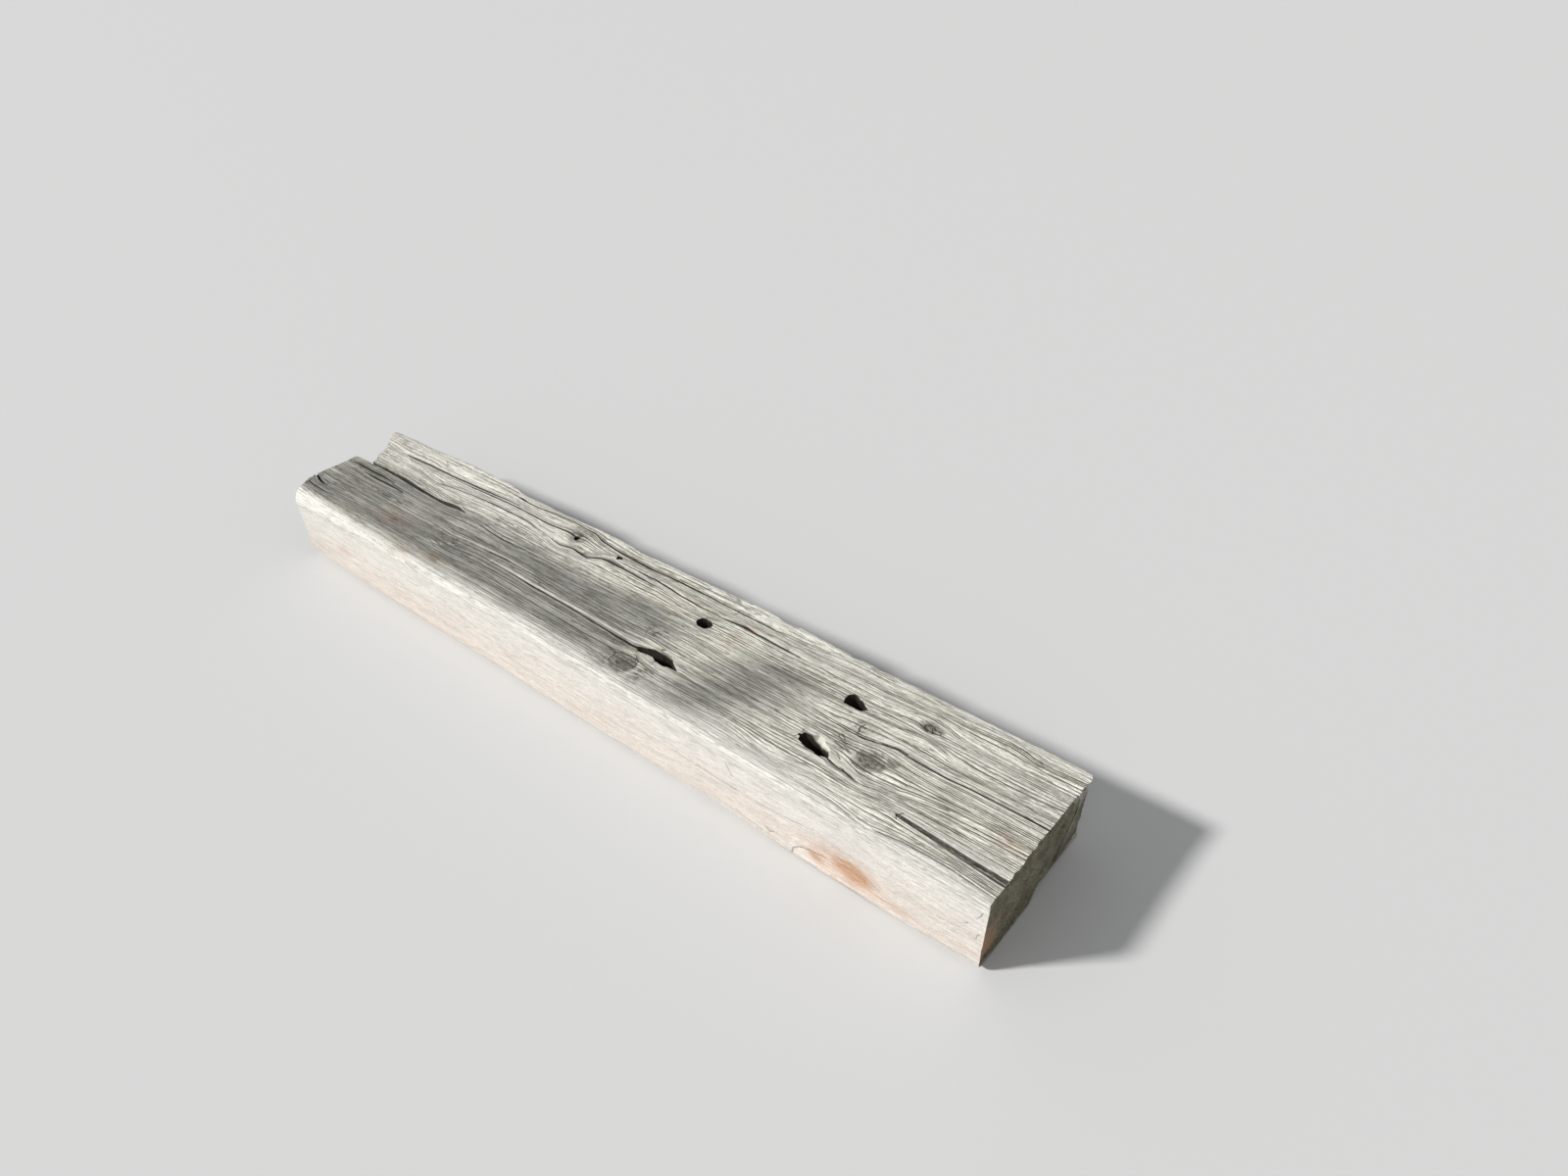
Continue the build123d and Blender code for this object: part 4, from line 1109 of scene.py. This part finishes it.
def makeKnotGroup():
    # a knot seen end on, with q = 1 on its rim: rings are sin(q * count) bent by noise, fading past the rim
    tree, given, result = newGroup("knotFigure", [
        ("Place", "NodeSocketVector", (0, 0, 0)), ("Centre", "NodeSocketVector", (0, 0, 0)),
        ("Half", "NodeSocketVector", (0.02, 0.015, 1)), ("Ring Count", "NodeSocketFloat", 17.0),
        ("Bend", "NodeSocketFloat", 0.5)], ["Inside", "Rings", "Rim"])
    make, maths, vectorMaths, blend, ramp, mask = nodeTools(tree)
    away = vectorMaths("DIVIDE", vectorMaths("SUBTRACT", given["Place"], given["Centre"]), given["Half"])
    q = vectorMaths("LENGTH", vectorMaths("MULTIPLY", away, (1, 1, 0)), socket="Value")
    q = maths("ADD", q, maths("MULTIPLY", maths("SUBTRACT", given["Bend"], 0.5), 0.8))
    wave = maths("SINE", maths("MULTIPLY", q, given["Ring Count"]))
    tree.links.new(ramp(q, 0.45, 1.5, 1.0, 0.0), result["Inside"])
    tree.links.new(maths("MULTIPLY", ramp(wave, -0.2, 1.0), ramp(q, 1.0, 1.5, 1.0, 0.0)), result["Rings"])
    tree.links.new(maths("MULTIPLY", ramp(q, 0.75, 0.98), ramp(q, 1.02, 1.3, 1.0, 0.0)), result["Rim"])
    return tree


def makeMarkGroup():
    # a crack from one point to another: 1 where the distance to the straight run is under half the width. The
    # distance is measured on the face that Flatten leaves.
    tree, given, result = newGroup("crackMark", [
        ("Place", "NodeSocketVector", (0, 0, 0)), ("Start", "NodeSocketVector", (0, 0, 0)),
        ("End", "NodeSocketVector", (0, 0, 0)), ("Flatten", "NodeSocketVector", (1, 1, 0)),
        ("Half Width", "NodeSocketFloat", 0.001)], ["Mark"])
    make, maths, vectorMaths, blend, ramp, mask = nodeTools(tree)
    away = vectorMaths("MULTIPLY", vectorMaths("SUBTRACT", given["Place"], given["Start"]), given["Flatten"])
    run = vectorMaths("MULTIPLY", vectorMaths("SUBTRACT", given["End"], given["Start"]), given["Flatten"])
    along = vectorMaths("DOT_PRODUCT", away, run, socket="Value")
    share = maths("DIVIDE", along, vectorMaths("DOT_PRODUCT", run, run, socket="Value"))
    share = make("ShaderNodeClamp", {"Value": share}).outputs[0]
    nearest = make("ShaderNodeVectorMath", {0: run, "Scale": share}, operation="SCALE").outputs[0]
    distance = vectorMaths("LENGTH", vectorMaths("SUBTRACT", away, nearest), socket="Value")
    tree.links.new(ramp(maths("DIVIDE", distance, given["Half Width"]), 0.6, 1.3, 1.0, 0.0), result["Mark"])
    return tree


# Colours of the wood, as they are seen in plain light, with painted shade, shadow, sunlight and highlight among
# them, the patterns they follow and how strongly each shows
timberFinish = {
    "tones": {
        # groove: dark of the grain's lines, and painted shade in its grooves
        "crest": (0.97, 0.94, 0.83, 1), "soft": (0.5, 0.48, 0.38, 1), "groove": (0.058, 0.05, 0.035, 1),
        # greying tone: soiled wood, and also the painted plant shadow across the middle of the top
        "soilAndShadow": (0.16, 0.16, 0.155, 1), "algae": (0.36, 0.37, 0.25, 1), "stain": (0.58, 0.27, 0.105, 1),
        # pale tones: pale wood, brightened as painted sunlight on the front and painted highlight on the top's
        # edges
        "paleFace": (0.97, 0.93, 0.88, 1), "paleLow": (0.93, 0.79, 0.69, 1), "paleTop": (0.98, 0.96, 0.88, 1),
        "paleShade": (0.70, 0.62, 0.54, 1), "knot": (0.095, 0.09, 0.062, 1),
        # hollow: near black, painted shade in checks, cracks, short marks, holes and pits, also the dark specks
        # of torn wood
        "knotDark": (0.05, 0.045, 0.035, 1), "hollow": (0.022, 0.017, 0.012, 1),
        # end grain tones, darker than the end's own colour: partly painted shade
        "endDark": (0.075, 0.066, 0.045, 1), "endLight": (0.27, 0.245, 0.175, 1),
        "endRed": (0.36, 0.21, 0.125, 1),
    },
    "streaks": {  # counts along and across a metre, and the range of the noise that is spread out
        "wide": (3, 95, 0.35, 0.68), "flecks": (36, 300, 0.38, 0.64), "threads": (130, 1250, 0.38, 0.66),
        "bands": (7, 165, 0.0, 1.0), "fineLines": (42, 760, 0.48, 0.6),
    },
    "mottles": {  # scale and detail of the noise, and its range
        "speckle": (420, 3, 0.3, 0.7), "blotches": (13, 6, 0.45, 0.72), "flakes": (95, 2, 0.4, 0.6),
        "endCoarse": (34, 5, 0.35, 0.65), "endFine": (340, 4, 0.34, 0.66),
    },
    "faces": {  # axis, the metres over which the face begins, and how strongly marks show there
        "onTop": ("Z", 0.11, 0.125, 1.0), "onFront": ("Y", -0.12, -0.126, 0.6),
        "onEnd": ("X", 0.73, 0.745, 1.0),
    },
    "softness": {"wide": 0.24, "threads": 0.32, "flecks": 0.24, "speckle": 0.25},
    "paleShade": {"threads": 0.2, "fineLines": 0.2, "speckle": 0.2},
    "lineWidth": (0.01, 0.048),  # a dark line stands where the bands' noise is this close to its middle
    "algae": 0.35, "paleTop": 0.6, "pale": 0.85, "soilAndShadow": 0.7,
    "lines": 0.72, "fineLines": 0.36, "groove": 0.95,
    "ringMarks": 0.5, "rimMarks": 0.8, "burl": 0.5, "knot": 0.95, "knotDark": 0.7,
    # how dark torn wood is, then the painted shade in short cracks, checks and holes
    "torn": 0.75, "marks": 0.85, "deepMarks": 0.9, "crack": 0.92, "boreWall": 0.92,
    "endCoarse": 0.42, "endFine": 0.58, "endRed": 0.95,
    "bendReach": 0.008, "shakenReach": 0.006,  # metres by which noise shifts torn wood and cracks
    "bumps": {
        "threads": 0.5, "speckle": 0.35, "sunk": 0.8, "rings": 0.6, "marks": 2.0,
        "strength": 0.8, "distance": 0.0012},
    "roughness": (0.78, 0.96), "specular": 0.25, "shade": (0.88, 1.08),
}

# Short cracks that cross the grain, drawn by the material as painted shade: distance from the sound end and
# distance from the front (height, on the front face) of each point in turn, then the width
topMarks = [
    ([(306.5, 98), (289, 95), (275, 93.5)], 1.6), ([(308, 111.5), (300, 106), (289.5, 104)], 1.6),
    ([(304, 115), (296.5, 108.5)], 1.4), ([(295, 102), (275, 93.5)], 1.4), ([(291, 84), (280, 77)], 1.3),
    ([(270, 86), (252, 79), (234, 82)], 1.3), ([(289, 129.5), (293, 136), (293, 140.5), (291, 147)], 2.4),
    ([(225, 196), (223.5, 191), (218, 187)], 3.2),
    ([(224, 196), (220, 200.5), (213, 200), (209.5, 195.5)], 2.4),
    ([(214, 193.5), (209, 188)], 2.0), ([(204.5, 196), (198, 191.5)], 1.8),
    ([(356.5, 75), (352.5, 83.5)], 1.5), ([(351, 87), (353.5, 93)], 1.3),
    ([(702, 51), (682, 50), (672, 54)], 2.4), ([(682, 50), (681, 39), (679.5, 30)], 2.2),
    ([(649.5, 60), (640, 54.5), (637, 42.5), (643.5, 28)], 1.6), ([(621, 65), (617, 71)], 2.0),
    ([(620, 48), (612, 50), (601, 48)], 1.5), ([(629, 94.5), (623, 96.5)], 2.4),
    ([(161, 53), (166, 47), (163, 40)], 2.0), ([(594, 229), (591, 222), (596, 217)], 1.3),
    ([(1095, 160), (1110, 150), (1122, 142)], 1.2),
]
frontMarks = [
    ([(406, 70), (440, 70.5), (490, 71.5), (524, 73)], 1.2), ([(366, 70), (320, 74), (266, 85)], 1.0),
    ([(311, 7), (308, 17), (298, 27), (283, 34), (268, 38), (250, 41)], 2.2),
    ([(356, 28), (348, 22), (342, 27)], 2.4), ([(420, 114), (414, 104), (409, 96)], 1.5),
    ([(18, 64), (14, 78)], 1.5), ([(16, 108), (10, 122)], 1.5), ([(34, 84), (28, 90)], 1.2),
]

# The same on the sound end: distance from the front and height of each point in turn, then the width
endMarks = [
    ([(122, 70), (136, 55), (152, 40)], 2.4), ([(58, 104), (66, 92), (70, 84)], 1.6),
    ([(98, 112), (103, 98)], 1.8),
]


def makePatterns(tree):
    # the patterns that the colours share: streaks along the grain, mottles, and the face a point lies on
    make, maths, vectorMaths, blend, ramp, mask = nodeTools(tree)
    streakGroup = makeStreakGroup()
    place = make("ShaderNodeTexCoord").outputs["Object"]
    position = make("ShaderNodeSeparateXYZ", {0: place}).outputs
    patterns = {"place": place, "height": position["Z"]}
    for name, (alongCount, acrossCount, low, high) in timberFinish["streaks"].items():
        patterns[name] = make("ShaderNodeGroup", {
            "Place": place, "Grain Line": mask("grainLine"), "Along Count": alongCount,
            "Across Count": acrossCount, "Low": low, "High": high}, node_tree=streakGroup).outputs["Streak"]
    for name, (scale, detail, low, high) in timberFinish["mottles"].items():
        mottle = make("ShaderNodeTexNoise", {
            "Vector": place, "Scale": scale, "Detail": detail, "Roughness": 0.65})
        patterns[name] = ramp(mottle.outputs["Fac"], low, high)
    for name, (axis, low, high, strength) in timberFinish["faces"].items():
        patterns[name] = ramp(position[axis], low, high, 0.0, strength)
    return patterns


def grainColour(tree, seen):
    # soft wood between pale crests, bleached, stained or greyed in patches, then thin dark grooves. The pale
    # patches hold painted sunlight on the front and painted highlight along the top's front edge and raised
    # edges, the grey holds a painted plant shadow, and the grooves' depth is painted shade. Returns the colour
    # and the grooves.
    make, maths, vectorMaths, blend, ramp, mask = nodeTools(tree)
    finish, tones = timberFinish, timberFinish["tones"]

    def mixed(shares):
        return maths("ADD", *[maths("MULTIPLY", seen[name], share) for name, share in shares.items()])

    colour = blend(ramp(mixed(finish["softness"]), 0.35, 1.0), tones["crest"], tones["soft"])
    colour = blend(maths("MULTIPLY", seen["blotches"], finish["algae"]), colour, tones["algae"])
    # pale tone: pale wood, partly painted sunlight on the front and painted highlight on the top
    lowPart = ramp(seen["height"], 0.02, 0.12, 1.0, 0.0)
    lowPart = maths("MULTIPLY", lowPart, ramp(seen["wide"], 0.0, 1.0, 0.45, 1.0))
    paleFace = blend(lowPart, tones["paleFace"], tones["paleLow"])
    paleFace = blend(maths("MULTIPLY", seen["onTop"], finish["paleTop"]), paleFace, tones["paleTop"])
    paleFace = blend(mixed(finish["paleShade"]), paleFace, tones["paleShade"])
    colour = blend(maths("MULTIPLY", mask("pale"), finish["pale"]), colour, paleFace)
    stain = maths("MULTIPLY", mask("stain"), ramp(seen["fineLines"], 0.0, 1.0, 0.75, 1.0))
    colour = blend(stain, colour, tones["stain"])
    # greying: soiled wood, and the painted plant shadow of the slanting band
    colour = blend(maths("MULTIPLY", mask("grey"), finish["soilAndShadow"]), colour, tones["soilAndShadow"])
    bare = maths("SUBTRACT", 1.0, maths("MULTIPLY", mask("pale"), ramp(seen["onTop"], 0.0, 1.0, 0.7, 0.4)))
    lines = ramp(maths("ABSOLUTE", maths("SUBTRACT", seen["bands"], 0.5)), *finish["lineWidth"], 1.0, 0.0)
    # painted shade in the grain's deep grooves, strongest on the top, and dark grain lines from noise
    valley = maths("MULTIPLY", ramp(mask("valley"), 0.12, 0.5), ramp(mask("upward"), 0.3, 0.9, 0.1, 1.0))
    groove = maths("MAXIMUM", valley, maths("MULTIPLY", lines, finish["lines"]),
                   maths("MULTIPLY", seen["fineLines"], finish["fineLines"]))
    return blend(maths("MULTIPLY", groove, bare, finish["groove"]), colour, tones["groove"]), groove


def knotPatterns(tree, seen):
    # all knots of the top laid over one another: how far inside one a point is, and its rings and rim
    make, maths, vectorMaths, blend, ramp, mask = nodeTools(tree)
    knotGroup = makeKnotGroup()
    coarse = make("ShaderNodeTexNoise", {"Vector": seen["place"], "Scale": 48, "Detail": 2}).outputs["Fac"]
    inside, rings = 0.0, 0.0
    for a, b, length, width, push, sink, dark in topKnots:
        figure = make("ShaderNodeGroup", {
            "Place": seen["place"], "Centre": Vector((fromSound(a), fromFront(b), timberHeight)) * millimetre,
            "Half": (length / 2 * millimetre, width / 2 * millimetre, 1.0),
            "Ring Count": 8.0 + 0.1 * length, "Bend": coarse}, node_tree=knotGroup).outputs
        marks = maths("MAXIMUM", maths("MULTIPLY", figure["Rings"], timberFinish["ringMarks"]),
                      maths("MULTIPLY", figure["Rim"], timberFinish["rimMarks"]))
        inside = maths("MAXIMUM", inside, maths("MULTIPLY", figure["Inside"], dark))
        rings = maths("MAXIMUM", rings, maths("MULTIPLY", marks, dark))
    return inside, maths("MULTIPLY", rings, seen["onTop"])


def crackPattern(tree, seen, shaken):
    # all short cracks laid over one another, each shown only on its own face; the material shows them as
    # painted shade
    make, maths, vectorMaths, blend, ramp, mask = nodeTools(tree)
    markGroup = makeMarkGroup()
    sides = (
        (topMarks, (1, 1, 0), lambda a, b: (fromSound(a), fromFront(b), 0), seen["onTop"]),
        (frontMarks, (1, 0, 1), lambda a, b: (fromSound(a), 0, b), seen["onFront"]),
        (endMarks, (0, 1, 1), lambda a, b: (0, fromFront(a), b), seen["onEnd"]),
    )
    marks = 0.0
    for routes, flatten, placeOn, onFace in sides:
        for route, width in routes:
            for start, finish in zip(route, route[1:]):
                mark = make("ShaderNodeGroup", {
                    "Place": shaken, "Start": Vector(placeOn(*start)) * millimetre,
                    "End": Vector(placeOn(*finish)) * millimetre, "Flatten": flatten,
                    "Half Width": width / 2 * millimetre}, node_tree=markGroup).outputs["Mark"]
                marks = maths("MAXIMUM", marks, maths("MULTIPLY", mark, onFace))
    return marks


def knotColour(tree, seen, colour):
    # knots, the rough wood beside them, and cracks across the grain, all bent by one noise; the cracks are
    # painted shade. Returns the colour, the rings of the knots and the deep marks.
    make, maths, vectorMaths, blend, ramp, mask = nodeTools(tree)
    finish, tones = timberFinish, timberFinish["tones"]
    bend = make("ShaderNodeTexNoise", {"Vector": seen["place"], "Scale": 110, "Detail": 3}).outputs["Color"]
    bend = vectorMaths("SUBTRACT", bend, (0.5, 0.5, 0.5))
    bent = vectorMaths("MULTIPLY_ADD", bend, (finish["bendReach"],) * 3, seen["place"])
    shaken = vectorMaths("MULTIPLY_ADD", bend, (finish["shakenReach"],) * 3, seen["place"])
    inside, rings = knotPatterns(tree, seen)
    squeezed = vectorMaths("MULTIPLY", bent, (0.5, 1.0, 1.0))
    torn = make("ShaderNodeTexNoise", {"Vector": squeezed, "Scale": 210.0, "Detail": 3.0, "Roughness": 0.6})
    rough = maths("MAXIMUM", mask("burl"), maths("MULTIPLY", inside, 0.8))
    torn = maths("MULTIPLY", ramp(torn.outputs["Fac"], 0.52, 0.64), rough)
    marks = crackPattern(tree, seen, shaken)
    knotTone = maths("MAXIMUM", inside, maths("MULTIPLY", mask("burl"), finish["burl"]))
    knotTone = maths("MULTIPLY", knotTone, seen["onTop"], ramp(seen["threads"], 0.0, 1.0, 0.7, 1.0))
    colour = blend(maths("MULTIPLY", knotTone, finish["knot"]), colour, tones["knot"])
    colour = blend(maths("MULTIPLY", rings, seen["flakes"], finish["knotDark"]), colour, tones["knotDark"])
    # near black marks: dark specks in torn wood, and painted shade in the short cracks
    deepMarks = maths("MAXIMUM", maths("MULTIPLY", torn, finish["torn"]),
                      maths("MULTIPLY", marks, finish["marks"]))
    return blend(maths("MULTIPLY", deepMarks, finish["deepMarks"]), colour, tones["hollow"]), rings, deepMarks


def hollowColour(tree, seen, colour):
    # painted shade in checks, mottled end grain that is redder in one corner and partly darkened as painted
    # shade, and painted shade on the walls of the holes
    make, maths, vectorMaths, blend, ramp, mask = nodeTools(tree)
    finish, tones = timberFinish, timberFinish["tones"]
    crack = maths("MULTIPLY", mask("crack"), ramp(seen["threads"], 0.0, 1.0, 0.75, 1.25))
    # painted shade in the checks and cracks
    colour = blend(maths("MULTIPLY", ramp(crack, 0.12, 0.75), finish["crack"]), colour, tones["hollow"])
    mottle = maths("ADD", maths("MULTIPLY", seen["endCoarse"], finish["endCoarse"]),
                   maths("MULTIPLY", seen["endFine"], finish["endFine"]))
    # end grain, darker than its own colour: partly painted shade
    endTone = blend(mottle, tones["endDark"], tones["endLight"])
    endTone = blend(maths("MULTIPLY", mask("endRed"), finish["endRed"]), endTone, tones["endRed"])
    colour = blend(mask("endGrain"), colour, endTone)
    # painted shade on the walls of the holes and pits
    colour = blend(maths("MULTIPLY", mask("boreWall"), finish["boreWall"]), colour, tones["hollow"])
    darker, lighter = finish["shade"]
    shade = make("ShaderNodeMapRange", {"Value": seen["speckle"], "To Min": darker, "To Max": lighter})
    return blend(1.0, colour, shade.outputs["Result"], "MULTIPLY")


def makeTimberMaterial():
    # matt weathered wood: the colours in their order, and a bump that sinks the grooves, rings and marks
    material = bpy.data.materials.new("weatheredTimber")
    material.use_nodes = True
    tree = material.node_tree
    tree.nodes.clear()
    make, maths, vectorMaths, blend, ramp, mask = nodeTools(tree)
    seen = makePatterns(tree)
    colour, groove = grainColour(tree, seen)
    colour, rings, deepMarks = knotColour(tree, seen, colour)
    colour = hollowColour(tree, seen, colour)
    bumps = timberFinish["bumps"]
    sunk = maths("ADD", groove, maths("MULTIPLY", rings, bumps["rings"]),
                 maths("MULTIPLY", deepMarks, bumps["marks"]))
    relief = maths("SUBTRACT", maths("MULTIPLY", seen["threads"], bumps["threads"]),
                   maths("MULTIPLY", sunk, bumps["sunk"]))
    relief = maths("ADD", relief, maths("MULTIPLY", seen["speckle"], bumps["speckle"]))
    bump = make("ShaderNodeBump", {
        "Height": relief, "Strength": bumps["strength"], "Distance": bumps["distance"]})
    shader = make("ShaderNodeBsdfPrincipled", {
        "Base Color": colour, "Roughness": ramp(seen["threads"], 0.0, 1.0, *timberFinish["roughness"]),
        "Normal": bump.outputs["Normal"], "Specular IOR Level": timberFinish["specular"]})
    make("ShaderNodeOutputMaterial", {"Surface": shader.outputs[0]})
    return material


timber.data.materials.clear()
timber.data.materials.append(makeTimberMaterial())
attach(timber, "root")
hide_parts("sleeper")
print("stage: materials")


# Floor, light and camera

studio = {
    "floorSize": 60.0, "floorColour": (0.6, 0.595, 0.585, 1), "floorRoughness": 0.9,
    "keyFrom": (-0.54, -0.58, 0.62), "keySoftness": 0.12, "keyPower": 3.6,
    "fillFrom": (0.45, -0.75, 0.5), "fillSoftness": 0.9, "fillPower": 0.4,
    "skyColour": (0.94, 0.97, 1.0, 1), "skyStrength": 0.38,
}

# The photo's camera, worked out from straight edges: its place, where it looks, which way is up, and its
# focal length in pixels of a picture this wide
camera = {
    "place": (1.1531, -0.8407, 1.2648),
    "forward": (-0.53562, 0.56916, -0.62384), "up": (-0.36021, 0.51417, 0.77838),
    "sensor": 36.0, "focalPixels": 1164.1, "pictureWidth": 1600,
}


def makeFloor():
    # a large pale square under the timber
    half = studio["floorSize"] / 2
    points = np.array([(-half, -half, 0), (half, -half, 0), (half, half, 0), (-half, half, 0)])
    floor = bpy.data.objects.new("floor", meshOf("floor", points, np.array([[0, 1, 2, 3]]), 1.0))
    bpy.context.collection.objects.link(floor)
    material = bpy.data.materials.new("paleFloor")
    material.use_nodes = True
    shader = material.node_tree.nodes["Principled BSDF"]
    shader.inputs["Base Color"].default_value = studio["floorColour"]
    shader.inputs["Roughness"].default_value = studio["floorRoughness"]
    floor.data.materials.append(material)


def makeLamp(name, comesFrom, softness, power):
    # a sun whose light comes from the given direction, softness being its angle in radians
    lamp = bpy.data.lights.new(name, "SUN")
    lamp.angle, lamp.energy = softness, power
    holder = bpy.data.objects.new(name, lamp)
    holder.rotation_euler = Vector(comesFrom).to_track_quat("Z", "Y").to_euler()
    bpy.context.collection.objects.link(holder)


def makeSky():
    # even light from all round
    world = bpy.data.worlds.new("studio")
    bpy.context.scene.world = world
    world.use_nodes = True
    sky = world.node_tree.nodes["Background"]
    sky.inputs["Color"].default_value = studio["skyColour"]
    sky.inputs["Strength"].default_value = studio["skyStrength"]


def makeCamera():
    # right = forward x up, and up = right x forward, so that the three stand square
    data = bpy.data.cameras.new("camera")
    data.sensor_fit, data.sensor_width = "HORIZONTAL", camera["sensor"]
    data.lens = camera["sensor"] * camera["focalPixels"] / camera["pictureWidth"]
    data.clip_start, data.clip_end = 0.01, 100
    forward, up = Vector(camera["forward"]).normalized(), Vector(camera["up"])
    right = forward.cross(up).normalized()
    up = right.cross(forward)
    holder = bpy.data.objects.new("camera", data)
    turned = Matrix((right, up, -forward)).transposed().to_4x4()
    holder.matrix_world = Matrix.Translation(camera["place"]) @ turned
    bpy.context.collection.objects.link(holder)
    bpy.context.scene.camera = holder


makeFloor()
makeLamp("key", studio["keyFrom"], studio["keySoftness"], studio["keyPower"])
makeLamp("fill", studio["fillFrom"], studio["fillSoftness"], studio["fillPower"])
makeCamera()
makeSky()
bpy.context.scene.view_settings.view_transform = "Standard"
print("stage: studio")
